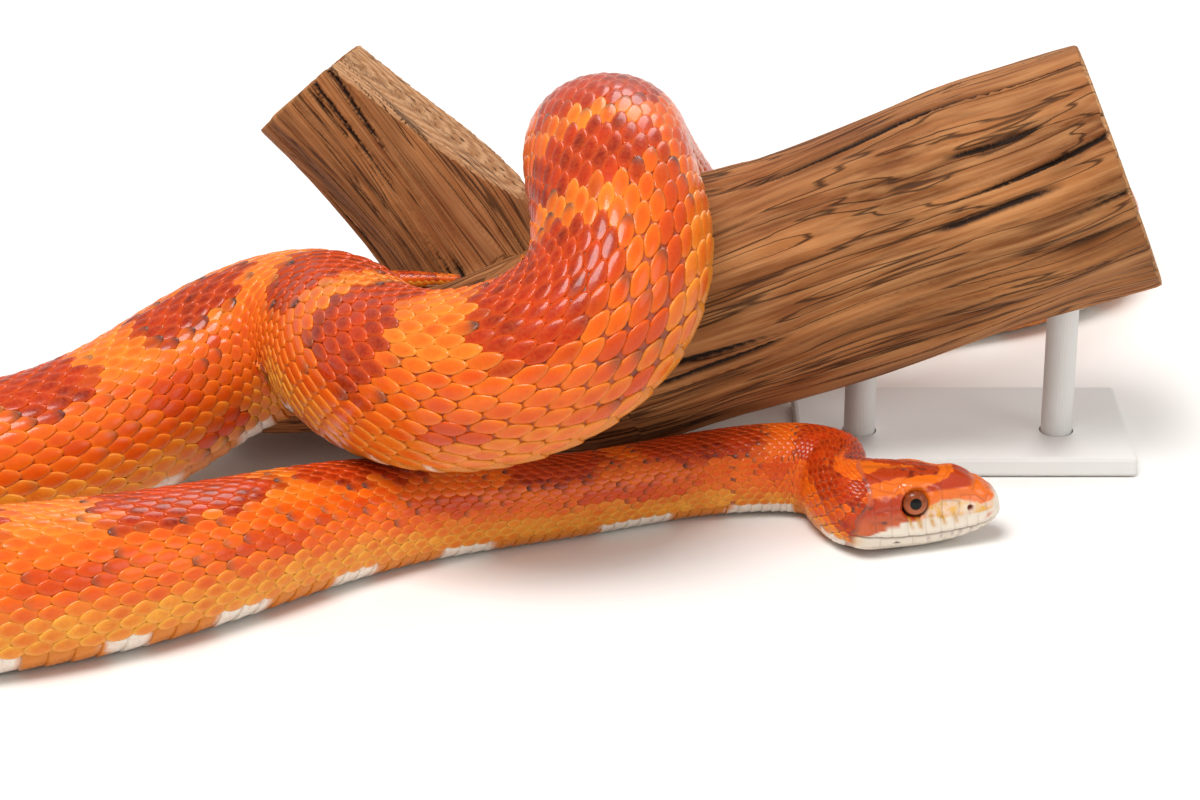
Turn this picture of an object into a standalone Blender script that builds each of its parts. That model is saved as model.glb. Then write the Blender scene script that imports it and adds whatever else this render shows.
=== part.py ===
"""An adult corn snake, life size, resting on the floor and looped over a cut length of driftwood.

Lengths are in millimetres until scale_to_metres, +Z is up, and the head looks along +X.
The origin is the centre of the stand's base, on the surface that the model rests on.
"""
import math

import bmesh
import bpy
import numpy as np
from mathutils import Vector

MM = 0.001

# Driving dimensions of the animal
BELLY_DROP = 0.93        # depth of the body below its widest level, in half widths
BACK_RISE = 1.0          # height of the back above that level, in half widths
BACK_ROUNDNESS = 0.95    # exponents of the loaf-shaped section, 1 is a plain ellipse
BELLY_ROUNDNESS = 0.77
BODY_SIDES = 20
RING_SPACING = 6.0
HEAD_END = 40.0          # where the head, with the nape, is parted from the neck
JOINT_GAP = 0.3          # between one length of the body and the next
SAMPLES_PER_SPAN = 16

# The stand and the wood
STAND_CENTRE = (70.0, 64.0)      # plan position of the stand's base among the stations below
BASE_SIZE = (64.0, 34.0, 4.0)
BASE_EDGE = 0.8
ROD_RADIUS = 3.0
ROD_PLACES = ((50.0, 60.0), (88.0, 60.0))
ROD_TOPS = (25.0, 42.0)
ROD_SOCKET = 1.6                 # depth of the rods' seats in the base
CLEARANCE = 0.35                 # between wood and snake
WOOD_SIDES = 22
WOOD_FINE_STEPS = 3

UP = (0.0, 0.0, 1.0)


def on_floor(x, y, half_width):
    """A station whose belly lies flat on the floor."""
    return (x, y, BELLY_DROP * half_width, half_width, UP)


# Stations of the body's axis: x, y, height of the widest level, half width, way the back faces
HEAD_ON_FLOOR = [
    on_floor(72.6, 22.0, 5.0),
    on_floor(64.0, 21.3, 5.6),
    on_floor(57.5, 20.8, 6.2),
    on_floor(51.4, 20.2, 7.0),
]
FRONT_ON_FLOOR = [
    on_floor(45.8, 23.2, 7.8),
    on_floor(45.0, 31.2, 8.3),
    on_floor(38.0, 36.6, 8.2),
    on_floor(26.6, 36.0, 7.9),
    on_floor(13.0, 33.0, 7.4),
    on_floor(-5.0, 24.8, 7.3),
    on_floor(-21.0, 20.4, 8.3),
    on_floor(-38.0, 14.5, 9.8),
    on_floor(-54.0, 4.0, 11.2),
    on_floor(-70.0, -8.5, 12.4),
    on_floor(-87.0, -18.5, 13.4),
    on_floor(-108.0, -25.5, 14.0),
    on_floor(-131.0, -29.5, 14.3),
]
LEFT_TURN = [
    on_floor(-157.0, -33.0, 14.6),
    on_floor(-184.0, -33.0, 14.8),
    on_floor(-206.0, -24.0, 14.9),
    on_floor(-215.0, -6.0, 14.9),
    on_floor(-206.0, 12.0, 14.9),
    on_floor(-185.0, 21.0, 14.9),
    on_floor(-158.0, 21.0, 14.9),
    on_floor(-131.0, 18.0, 14.9),
]
RISE_ONTO_ROOT = [
    (-107.0, 23.0, 14.0, 14.8, UP),
    (-90.0, 35.0, 16.5, 14.9, UP),
    (-80.0, 44.5, 20.0, 15.0, (0.0, -0.1, 1.0)),
    (-71.5, 51.0, 23.5, 15.0, (0.0, -0.1, 1.0)),
    (-61.0, 53.5, 27.5, 15.0, (0.0, -0.2, 1.0)),
    (-52.0, 49.5, 30.0, 15.0, (0.0, -0.2, 1.0)),
    (-46.5, 40.5, 31.5, 15.1, (0.0, -0.2, 1.0)),
    (-43.5, 29.0, 33.0, 15.2, (0.0, -0.2, 1.0)),
]
HANGING_LOOP = [
    (-36.5, 16.5, 34.8, 15.3, (-0.1, -0.3, 1.0)),
    (-24.5, 6.0, 37.8, 15.5, (-0.3, -0.4, 1.0)),
    (-9.5, 3.5, 42.8, 15.6, (-0.6, -0.5, 0.8)),
    (2.5, 8.5, 51.5, 15.6, (-0.7, -0.6, 0.6)),
    (4.0, 21.0, 61.0, 15.6, (-0.6, -0.6, 0.7)),
    (1.5, 38.0, 66.0, 15.6, (-0.2, -0.3, 1.0)),
]
OVER_THE_LIMB = [
    (1.0, 55.0, 63.0, 15.5, (0.0, 0.2, 1.0)),
    (3.5, 73.0, 52.5, 15.3, (0.0, 0.6, 0.8)),
    (10.0, 88.0, 37.0, 15.1, (0.0, 0.9, 0.6)),
    (21.5, 99.0, 20.0, 14.9, (0.0, 0.6, 1.0)),
    (40.0, 108.0, 13.2, 14.6, UP),
]
HIND_TURN = [
    on_floor(62.0, 117.0, 14.2),
    on_floor(84.0, 124.0, 13.7),
    on_floor(102.0, 137.0, 13.1),
    on_floor(107.0, 157.0, 12.6),
    on_floor(95.0, 174.0, 12.1),
    on_floor(73.0, 178.0, 11.6),
    on_floor(52.0, 169.0, 11.0),
    on_floor(34.0, 154.0, 10.4),
    on_floor(17.0, 138.0, 9.8),
    on_floor(-1.0, 122.0, 9.0),
]
TAIL = [
    on_floor(-22.0, 111.0, 7.7),
    on_floor(-43.0, 107.0, 6.7),
    on_floor(-63.0, 107.0, 5.9),
    on_floor(-81.0, 107.0, 5.2),
    on_floor(-94.0, 100.0, 4.7),
    on_floor(-96.0, 87.0, 4.3),
    on_floor(-87.0, 79.0, 3.9),
    (-76.5, 77.0, 11.5, 3.6, UP),
    (-68.0, 76.5, 19.2, 3.2, UP),
    (-58.5, 76.2, 24.0, 2.8, UP),
    (-49.0, 75.8, 27.2, 2.4, UP),
    (-41.0, 75.5, 29.0, 2.0, UP),
    (-34.0, 75.0, 29.3, 1.5, UP),
    (-26.6, 75.0, 29.1, 1.0, UP),
]
STATIONS = (HEAD_ON_FLOOR + FRONT_ON_FLOOR + LEFT_TURN + RISE_ONTO_ROOT
            + HANGING_LOOP + OVER_THE_LIMB + HIND_TURN + TAIL)

# Each length of the body ends at this distance from the snout
LENGTHS = (
    ("neck", 70.0),
    ("forebody_front", 130.0),
    ("forebody_back", 200.0),
    ("turn_entry", 255.0),
    ("turn_near", 305.0),
    ("turn_far", 350.0),
    ("turn_exit", 395.0),
    ("midbody_floor", 440.0),
    ("midbody_rise", 480.0),
    ("midbody_hump", 510.0),
    ("loop_entry", 538.0),
    ("loop_front", 564.0),
    ("loop_bottom", 590.0),
    ("loop_rise", 620.0),
    ("crown", 655.0),
    ("descent", 700.0),
    ("hindbody_front", 755.0),
    ("hindbody_turn_in", 798.0),
    ("hindbody_turn_out", 845.0),
    ("hindbody_middle", 905.0),
    ("hindbody_back", 970.0),
    ("tail_base", 1035.0),
    ("tail_turn", 1075.0),
    ("tail_rise", 1105.0),
    ("tail_tip", None),
)

NEAR_THE_WOOD = (
    "neck", "forebody_front", "forebody_back", "midbody_floor", "midbody_rise", "midbody_hump",
    "loop_entry", "loop_front", "loop_bottom", "loop_rise", "crown", "descent",
    "hindbody_front", "tail_base", "tail_turn", "tail_rise", "tail_tip",
)

# Head: distance behind the snout, half width, heights of crown, widest level and underside
HEAD_PROFILE = (
    (0.0, 0.7, 7.3, 6.8, 6.3),
    (0.35, 1.9, 8.4, 6.8, 5.0),
    (1.4, 3.0, 9.9, 6.6, 3.8),
    (3.0, 3.8, 11.2, 6.4, 2.8),
    (5.0, 4.4, 12.4, 6.1, 1.9),
    (8.0, 5.0, 13.7, 5.8, 1.0),
    (11.0, 5.7, 14.0, 5.7, 0.4),
    (14.0, 6.5, 14.2, 5.7, 0.1),
    (17.5, 7.2, 14.5, 5.7, 0.0),
    (21.0, 8.2, 14.7, 5.9, 0.0),
    (24.0, 9.0, 14.8, 6.2, 0.0),
    (27.0, 9.1, 14.9, 6.5, 0.1),
    (29.5, 8.3, 14.5, 6.7, 0.6),
    (31.5, 6.6, 13.3, 6.8, 1.8),
    (33.0, 4.0, 10.8, 6.9, 3.8),
)
HEAD_CROWN_ROUNDNESS = 0.60
HEAD_CHIN_ROUNDNESS = 0.80
HEAD_CROWN_TAPER = 0.12
HEAD_SIDES = 32
HEAD_FINE_STEPS = 3               # rings for each row of the profile
NAPE_RING_SPACING = 2.0
NAPE_START = 26.0                 # where the neck's own section begins, inside the head
HEAD_STRAIGHT = 20.0              # the way the head points is read over this distance
EYE_FROM_SNOUT = 16.4
EYE_HEIGHT = 9.9
EYE_OUT = 5.45                    # from the head's middle plane to the eye's centre
EYE_RADII = (2.4, 1.5, 2.4)       # along the head, across it, up
EYE_GAP = 0.3
BROW_FROM_SNOUT = 16.0            # the shield over each eye, raised and a little overhanging
BROW_OUT = 4.75
BROW_HEIGHT = 12.8
BROW_RADII = (4.2, 1.6, 0.9)
NOSTRIL_FROM_SNOUT = 6.0
NOSTRIL_HEIGHT = 8.1
NOSTRIL_OUT = 4.35
NOSTRIL_RADIUS = 0.55
MOUTH_GAP = 0.3
# Line of the mouth: distance behind the snout, height
MOUTH_LINE = ((-3.0, 5.5), (0.0, 5.4), (2.2, 4.9), (5.0, 4.3), (9.6, 3.9), (15.0, 3.8),
              (20.0, 4.1), (24.0, 4.8), (26.5, 5.2))
JAW_HINGE = ((27.8, 4.6), (28.6, 3.0), (29.0, -3.0))
JAW_BLOCK_FRONT = -3.0
JAW_BLOCK_HALF_DEPTH = 9.7       # just wider than the jaw, so that the neck is left whole

# Colours of the plain solids, with roughness
ORANGE = (0.80, 0.22, 0.03)
CREAM = (0.82, 0.74, 0.66)
IRIS = (0.35, 0.05, 0.02)
WOOD_BROWN = (0.25, 0.12, 0.05)
STAND_WHITE = (0.75, 0.75, 0.73)


def collection(name):
    made = bpy.data.collections.new(name)
    bpy.context.scene.collection.children.link(made)
    return made


def add_object(name, mesh, group):
    made = bpy.data.objects.new(name, mesh)
    group.objects.link(made)
    return made


def give_material(piece, colour, roughness, metallic=0.0):
    material = bpy.data.materials.new(piece.name + "_finish")
    material.use_nodes = True
    shader = material.node_tree.nodes["Principled BSDF"]
    shader.inputs["Base Color"].default_value = (*colour, 1.0)
    shader.inputs["Roughness"].default_value = roughness
    shader.inputs["Metallic"].default_value = metallic
    material.diffuse_color = (*colour, 1.0)
    piece.data.materials.clear()
    piece.data.materials.append(material)


def spline_samples():
    """Dense samples of the uniform cubic B-spline through the stations' polygon."""
    rows = np.array([(*s[:4], *s[4]) for s in STATIONS])
    rows = np.vstack([2 * rows[0] - rows[1], rows, 2 * rows[-1] - rows[-2]])
    basis = np.array([[-1, 3, -3, 1], [3, -6, 3, 0], [-3, 0, 3, 0], [1, 4, 1, 0]]) / 6
    samples = []
    for first in range(len(rows) - 3):
        for step in range(SAMPLES_PER_SPAN):
            t = step / SAMPLES_PER_SPAN
            samples.append(np.array([t ** 3, t * t, t, 1]) @ basis @ rows[first:first + 4])
    samples.append(rows[-2])
    return np.array(samples)


SAMPLES = spline_samples()
STEPS = np.linalg.norm(np.diff(SAMPLES[:, :3], axis=0), axis=1)
DISTANCE = np.concatenate([[0.0], np.cumsum(STEPS)])
TOTAL_LENGTH = DISTANCE[-1]


def sample(distance):
    return np.array([np.interp(distance, DISTANCE, column) for column in SAMPLES.T])


def frame_at(distance):
    """Centre, half width, and unit vectors along the body, out of its back and to its left."""
    here = sample(distance)
    reach = 1.5
    ahead = sample(min(distance + reach, TOTAL_LENGTH))
    behind = sample(max(distance - reach, 0.0))
    along = Vector(ahead[:3] - behind[:3]).normalized()
    back = Vector(here[4:7])
    back = (back - along * back.dot(along)).normalized()
    return Vector(here[:3]), here[3], along, back, along.cross(back)


def rounded(value, exponent):
    return math.copysign(abs(value) ** exponent, value)


def body_ring(distance, shift=0.0, grow=0.0):
    """One loaf-shaped section of the body: round back, flat belly."""
    centre, half_width, along, back, left = frame_at(distance)
    centre = centre + along * shift
    reach = half_width + grow
    ring = []
    for side in range(BODY_SIDES):
        angle = 2 * math.pi * side / BODY_SIDES
        across, up = math.sin(angle), math.cos(angle)
        if up >= 0:
            across = rounded(across, BACK_ROUNDNESS)
            up = BACK_RISE * rounded(up, BACK_ROUNDNESS)
        else:
            across = rounded(across, BELLY_ROUNDNESS)
            up = max(rounded(up, BELLY_ROUNDNESS), -BELLY_DROP)
        point = centre + left * (across * reach) + back * (up * reach)
        if grow == 0.0:
            point.z = max(point.z, 0.0)
        ring.append(point)
    return ring


def loft(name, rings, group):
    """A closed skin through equal rings, flat at both ends."""
    sides = len(rings[0])
    shape = bmesh.new()
    rows = [[shape.verts.new(point) for point in ring] for ring in rings]
    for row, following in zip(rows, rows[1:]):
        for side in range(sides):
            after = (side + 1) % sides
            shape.faces.new((row[side], row[after], following[after], following[side]))
    shape.faces.new(reversed(rows[0]))
    shape.faces.new(rows[-1])
    bmesh.ops.triangulate(shape, faces=shape.faces[:])
    bmesh.ops.recalc_face_normals(shape, faces=shape.faces[:])
    mesh = bpy.data.meshes.new(name)
    shape.to_mesh(mesh)
    shape.free()
    mesh.shade_smooth()
    mesh.set_sharp_from_angle(angle=math.radians(50))
    return add_object(name, mesh, group)


def ring_distances(start, end):
    count = max(2, round((end - start) / RING_SPACING) + 1)
    return np.linspace(start, end, count)


def body_length(name, start, end, group, grow=0.0):
    """One length of the body, with half the joint's gap left at each end, or grown all round."""
    rings = [body_ring(distance, grow=grow) for distance in ring_distances(start, end)]
    inset = -grow if grow else JOINT_GAP / 2
    rings[0] = body_ring(start, shift=inset, grow=grow)
    rings[-1] = body_ring(end, shift=-inset, grow=grow)
    return loft(name, rings, group)


def body_spans():
    """Name, start and end of every length of the body behind the head."""
    ends = [TOTAL_LENGTH if end is None else end for name, end in LENGTHS]
    starts = [HEAD_END] + ends[:-1]
    return [(name, start, end) for (name, given), start, end in zip(LENGTHS, starts, ends)]


def smooth_stations(stations, per_span):
    """The same stations with more between them, on a smooth curve through them all."""
    rows = np.array(stations)
    rows = np.vstack([2 * rows[0] - rows[1], rows, 2 * rows[-1] - rows[-2]])
    basis = np.array([[-1, 3, -3, 1], [2, -5, 4, -1], [-1, 0, 1, 0], [0, 2, 0, 0]]) / 2
    fine = []
    for first in range(len(rows) - 3):
        for step in range(per_span):
            t = step / per_span
            fine.append(np.array([t ** 3, t * t, t, 1]) @ basis @ rows[first:first + 4])
    fine.append(rows[-2])
    return [tuple(row) for row in fine]


def head_rings():
    """Sections of the head about its straight middle plane, from the snout to a rounded back."""
    snout = Vector(sample(0.0)[:3])
    along = head_axis()
    left = along.cross(Vector(UP))
    rings = []
    for distance, wide, crown, level, under in smooth_stations(HEAD_PROFILE, HEAD_FINE_STEPS):
        ring = []
        for side in range(HEAD_SIDES):
            angle = 2 * math.pi * side / HEAD_SIDES
            across, up = math.sin(angle), math.cos(angle)
            if up >= 0:
                share = rounded(up, HEAD_CROWN_ROUNDNESS)
                across = rounded(across, HEAD_CROWN_ROUNDNESS) * (1 - HEAD_CROWN_TAPER * share)
                height = level + (crown - level) * share
            else:
                across = rounded(across, HEAD_CHIN_ROUNDNESS)
                height = level + (level - under) * rounded(up, HEAD_CHIN_ROUNDNESS)
            place = snout + along * distance + left * (across * wide)
            ring.append(Vector((place.x, place.y, max(height, 0.0))))
        rings.append(ring)
    return rings


def head_axis():
    """The way from the snout to the back of the head, level."""
    run = Vector(sample(HEAD_STRAIGHT)[:3] - sample(0.0)[:3])
    return Vector((run.x, run.y, 0.0)).normalized()


def head_point(distance, out, height):
    """A point of the head: distance behind the snout, offset to its left, height."""
    along = head_axis()
    place = Vector(sample(0.0)[:3]) + along * distance + along.cross(Vector(UP)) * out
    return Vector((place.x, place.y, height))


def ball(name, centre, radii, heading, group, segments=16, rings=10):
    shape = bmesh.new()
    bmesh.ops.create_uvsphere(shape, u_segments=segments, v_segments=rings, radius=1.0)
    bmesh.ops.scale(shape, vec=radii, verts=shape.verts)
    mesh = bpy.data.meshes.new(name)
    shape.to_mesh(mesh)
    shape.free()
    mesh.shade_smooth()
    made = add_object(name, mesh, group)
    made.location = centre
    made.rotation_euler = (0.0, 0.0, heading)
    return made


def jaw_block(name, grow, group):
    """A prism below the mouth's line, square to the head's middle plane."""
    outline = [(distance, height + grow) for distance, height in MOUTH_LINE]
    outline += [(distance + grow, height) for distance, height in JAW_HINGE]
    outline.append((JAW_BLOCK_FRONT, JAW_HINGE[-1][1]))
    snout = Vector(sample(0.0)[:3])
    along = head_axis()
    across = along.cross(Vector(UP))
    shape = bmesh.new()
    rows = []
    for out in (-JAW_BLOCK_HALF_DEPTH - grow, JAW_BLOCK_HALF_DEPTH + grow):
        places = [snout + along * distance + across * out for distance, height in outline]
        rows.append([shape.verts.new((place.x, place.y, height))
                     for place, (distance, height) in zip(places, outline)])
    for k in range(len(outline)):
        after = (k + 1) % len(outline)
        shape.faces.new((rows[0][k], rows[0][after], rows[1][after], rows[1][k]))
    shape.faces.new(reversed(rows[0]))
    shape.faces.new(rows[1])
    bmesh.ops.triangulate(shape, faces=shape.faces[:])
    bmesh.ops.recalc_face_normals(shape, faces=shape.faces[:])
    mesh = bpy.data.meshes.new(name)
    shape.to_mesh(mesh)
    shape.free()
    return add_object(name, mesh, group)


def as_cutter(piece):
    piece.hide_render = True
    piece.display_type = "WIRE"
    return piece


def boolean(piece, cutter, operation):
    modifier = piece.modifiers.new(cutter.name, "BOOLEAN")
    modifier.operation = operation
    modifier.solver = "EXACT"
    modifier.object = cutter


def apply_modifiers(piece):
    """Replace the mesh by its evaluated one and keep only its largest closed surface."""
    evaluated = piece.evaluated_get(bpy.context.evaluated_depsgraph_get())
    shape = bmesh.new()
    shape.from_mesh(bpy.data.meshes.new_from_object(evaluated))
    piece.modifiers.clear()
    left = set(shape.verts)
    largest = set()
    while left:
        island = {left.pop()}
        edge = list(island)
        while edge:
            vertex = edge.pop()
            for link in vertex.link_edges:
                other = link.other_vert(vertex)
                if other not in island:
                    island.add(other)
                    edge.append(other)
        left -= island
        if len(island) > len(largest):
            largest = island
    bmesh.ops.delete(shape, geom=[v for v in shape.verts if v not in largest], context="VERTS")
    shape.to_mesh(piece.data)
    shape.free()


def make_head(group, cutters):
    head = loft("head", head_rings(), group)
    distances = np.arange(NAPE_START, HEAD_END, NAPE_RING_SPACING)
    nape_rings = [body_ring(distance) for distance in distances]
    nape_rings.append(body_ring(HEAD_END, shift=-JOINT_GAP / 2))
    boolean(head, as_cutter(loft("nape", nape_rings, cutters)), "UNION")
    ahead = -head_axis()
    heading = math.atan2(ahead.y, ahead.x)
    for label, side in (("left", 1.0), ("right", -1.0)):
        place = head_point(BROW_FROM_SNOUT, side * BROW_OUT, BROW_HEIGHT)
        brow = as_cutter(ball("brow_" + label, place, BROW_RADII, heading, cutters, 12, 8))
        boolean(head, brow, "UNION")
    apply_modifiers(head)
    jaw = add_object("lower_jaw", head.data.copy(), group)
    boolean(jaw, as_cutter(jaw_block("jaw_share", 0.0, cutters)), "INTERSECT")
    boolean(head, as_cutter(jaw_block("mouth_cut", MOUTH_GAP, cutters)), "DIFFERENCE")
    for label, side in (("left", 1.0), ("right", -1.0)):
        centre = head_point(EYE_FROM_SNOUT, side * EYE_OUT, EYE_HEIGHT)
        socket_radii = [radius + EYE_GAP for radius in EYE_RADII]
        socket = as_cutter(ball("socket_" + label, centre, socket_radii, heading, cutters))
        boolean(head, socket, "DIFFERENCE")
        eye = ball("eye_" + label, centre, EYE_RADII, heading, group)
        give_material(eye, IRIS, 0.1)
        opening = head_point(NOSTRIL_FROM_SNOUT, side * NOSTRIL_OUT, NOSTRIL_HEIGHT)
        nostril_radii = [NOSTRIL_RADIUS] * 3
        nostril = as_cutter(ball("nostril_" + label, opening, nostril_radii, heading, cutters, 10, 6))
        boolean(head, nostril, "DIFFERENCE")
    give_material(head, ORANGE, 0.35)
    give_material(jaw, CREAM, 0.4)


def make_body(group):
    for name, start, end in body_spans():
        give_material(body_length(name, start, end, group), ORANGE, 0.35)


# Driftwood: x, y, height of the axis, half depth, half height
LIMB = (
    (-16.0, 57.0, 19.5, 18.0, 18.0),
    (2.0, 54.5, 26.0, 19.5, 22.5),
    (20.0, 55.0, 32.5, 20.0, 23.5),
    (36.0, 55.5, 38.0, 20.5, 23.5),
    (52.0, 56.0, 44.0, 20.5, 24.0),
    (68.0, 56.0, 50.0, 20.0, 24.5),
    (82.0, 56.0, 55.0, 20.0, 24.5),
    (96.0, 56.0, 60.5, 19.5, 24.5),
)
ROOT = (
    (-74.0, 68.0, 7.5, 12.0, 5.5),
    (-62.0, 67.0, 11.5, 17.0, 9.5),
    (-46.0, 66.5, 14.5, 19.0, 12.5),
    (-30.0, 66.0, 16.5, 19.5, 14.5),
    (-14.0, 63.0, 20.0, 18.5, 17.5),
    (2.0, 58.0, 25.0, 17.0, 19.0),
)
STUB = (
    (-14.0, 82.0, 12.0, 13.0, 14.0),
    (-24.0, 92.0, 24.5, 13.0, 18.0),
    (-33.0, 98.0, 38.0, 13.0, 19.5),
    (-45.0, 103.0, 52.0, 12.5, 20.0),
    (-54.0, 106.0, 62.0, 12.5, 20.0),
)
STUB_CUT_PLACE = (-28.0, 100.0, 49.8)
STUB_CUT_FACING = (0.55, 0.0, 0.83)


def wood_ring(stations, index, seed):
    """A knotty oval across the wood at a station, square to the wood's run."""
    x, y, height, half_depth, half_height = stations[index]
    before = Vector(stations[max(index - 1, 0)][:3])
    after = Vector(stations[min(index + 1, len(stations) - 1)][:3])
    along = (after - before).normalized()
    across = along.cross(Vector(UP)).normalized()
    above = across.cross(along)
    ring = []
    for side in range(WOOD_SIDES):
        angle = 2 * math.pi * side / WOOD_SIDES
        gnarl = 1.0 + 0.035 * math.sin(3 * angle + seed + 0.5 * index)
        gnarl += 0.022 * math.sin(7 * angle + 2.0 * seed + 0.3 * index)
        reach = across * (half_depth * gnarl * math.sin(angle))
        reach += above * (half_height * gnarl * math.cos(angle))
        point = Vector((x, y, height)) + reach
        point.z = max(point.z, 1.0)
        ring.append(point)
    return ring


def saw_off(piece, place, facing):
    """Cut a run of wood square to the way the cut faces, and cap it."""
    shape = bmesh.new()
    shape.from_mesh(piece.data)
    geometry = shape.verts[:] + shape.edges[:] + shape.faces[:]
    bmesh.ops.bisect_plane(shape, geom=geometry, plane_co=place, plane_no=facing, clear_outer=True)
    rim = [edge for edge in shape.edges if edge.is_boundary]
    bmesh.ops.holes_fill(shape, edges=rim, sides=0)
    bmesh.ops.triangulate(shape, faces=shape.faces[:])
    bmesh.ops.recalc_face_normals(shape, faces=shape.faces[:])
    shape.to_mesh(piece.data)
    shape.free()


def branch(name, stations, seed, group):
    fine = smooth_stations(stations, WOOD_FINE_STEPS)
    return loft(name, [wood_ring(fine, k, seed) for k in range(len(fine))], group)


def make_perch(group, cutters):
    perch = branch("perch", LIMB, 0.4, group)
    stub = branch("perch_stub", STUB, 2.6, cutters)
    saw_off(stub, STUB_CUT_PLACE, STUB_CUT_FACING)
    boolean(perch, as_cutter(branch("perch_root", ROOT, 1.7, cutters)), "UNION")
    boolean(perch, as_cutter(stub), "UNION")
    for name, start, end in body_spans():
        if name in NEAR_THE_WOOD:
            room = body_length("room_for_" + name, start, end, cutters, CLEARANCE)
            boolean(perch, as_cutter(room), "DIFFERENCE")
    for index, ((x, y), top) in enumerate(zip(ROD_PLACES, ROD_TOPS)):
        seat = cylinder("rod_hole_%d" % index, x, y, 1.0, top + CLEARANCE,
                        ROD_RADIUS + CLEARANCE, cutters)
        boolean(perch, as_cutter(seat), "DIFFERENCE")
    apply_modifiers(perch)
    give_material(perch, WOOD_BROWN, 0.75)


def cylinder(name, x, y, bottom, top, radius, group):
    shape = bmesh.new()
    bmesh.ops.create_cone(shape, cap_ends=True, segments=32, radius1=radius, radius2=radius,
                          depth=top - bottom)
    mesh = bpy.data.meshes.new(name)
    shape.to_mesh(mesh)
    shape.free()
    mesh.shade_smooth()
    mesh.set_sharp_from_angle(angle=math.radians(40))
    made = add_object(name, mesh, group)
    made.location = (x, y, (bottom + top) / 2)
    return made


def make_stand(group, cutters):
    shape = bmesh.new()
    bmesh.ops.create_cube(shape, size=1.0)
    bmesh.ops.scale(shape, vec=BASE_SIZE, verts=shape.verts)
    mesh = bpy.data.meshes.new("stand_base")
    shape.to_mesh(mesh)
    shape.free()
    base = add_object("stand_base", mesh, group)
    base.location = (*STAND_CENTRE, BASE_SIZE[2] / 2)
    edge = base.modifiers.new("edge", "BEVEL")
    edge.width = BASE_EDGE
    edge.segments = 2
    give_material(base, STAND_WHITE, 0.45)
    floor_of_seat = BASE_SIZE[2] - ROD_SOCKET
    for index, ((x, y), top) in enumerate(zip(ROD_PLACES, ROD_TOPS)):
        seat = cylinder("base_seat_%d" % index, x, y, floor_of_seat, BASE_SIZE[2] + 3.0,
                        ROD_RADIUS + JOINT_GAP, cutters)
        boolean(base, as_cutter(seat), "DIFFERENCE")
        rod = cylinder("stand_rod_%d" % (index + 1), x, y, floor_of_seat + JOINT_GAP, top,
                       ROD_RADIUS, group)
        give_material(rod, STAND_WHITE, 0.35)


def scale_to_metres(pieces):
    """Hang every piece from one empty that turns millimetres into metres about the stand."""
    origin = bpy.data.objects.new("model_origin", None)
    bpy.context.scene.collection.objects.link(origin)
    origin.scale = (MM, MM, MM)
    origin.location = (-STAND_CENTRE[0] * MM, -STAND_CENTRE[1] * MM, 0.0)
    for piece in pieces:
        piece.parent = origin


def main():
    for leftover in list(bpy.data.objects):
        bpy.data.objects.remove(leftover, do_unlink=True)
    snake = collection("corn_snake")
    cutters = collection("cutters")
    make_head(snake, cutters)
    make_body(snake)
    make_perch(snake, cutters)
    make_stand(snake, cutters)
    scale_to_metres(list(snake.objects) + list(cutters.objects))


main()
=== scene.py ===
"""A still, life-size corn snake looped over a cut length of driftwood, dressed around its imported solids.

Stations, distances and heights are in millimetres, as the maker laid them out, and meshes are in metres.
"""
import math

import bpy
import numpy as np
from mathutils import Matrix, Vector, noise


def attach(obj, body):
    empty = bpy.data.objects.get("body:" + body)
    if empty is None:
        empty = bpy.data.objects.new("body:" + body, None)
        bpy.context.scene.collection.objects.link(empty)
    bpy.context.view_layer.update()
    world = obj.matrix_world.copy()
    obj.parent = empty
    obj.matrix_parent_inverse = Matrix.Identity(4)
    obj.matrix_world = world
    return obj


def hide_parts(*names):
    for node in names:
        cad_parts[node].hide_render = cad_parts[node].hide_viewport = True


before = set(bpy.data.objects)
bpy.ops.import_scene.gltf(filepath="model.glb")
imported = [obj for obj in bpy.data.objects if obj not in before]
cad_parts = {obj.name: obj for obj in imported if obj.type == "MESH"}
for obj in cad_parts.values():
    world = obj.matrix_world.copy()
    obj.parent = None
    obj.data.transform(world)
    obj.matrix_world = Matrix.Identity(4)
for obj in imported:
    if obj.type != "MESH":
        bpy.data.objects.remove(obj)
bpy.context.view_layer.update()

# The course of the body. A corn snake is one bent tube, flat below and round above, so everything on
# it is placed by two numbers: the distance behind the snout, and the share of the way round from the
# middle of the back to the middle of the belly, positive to the snake's left.
MM = 0.001
STAND_CENTRE = np.array((70, 64, 0))
BELLY_DROP = 0.93                        # how far the belly's flat lies below the centre, in half widths
BACK_ROUNDNESS, BELLY_ROUNDNESS = 0.95, 0.77
UP = (0, 0, 1)
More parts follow.
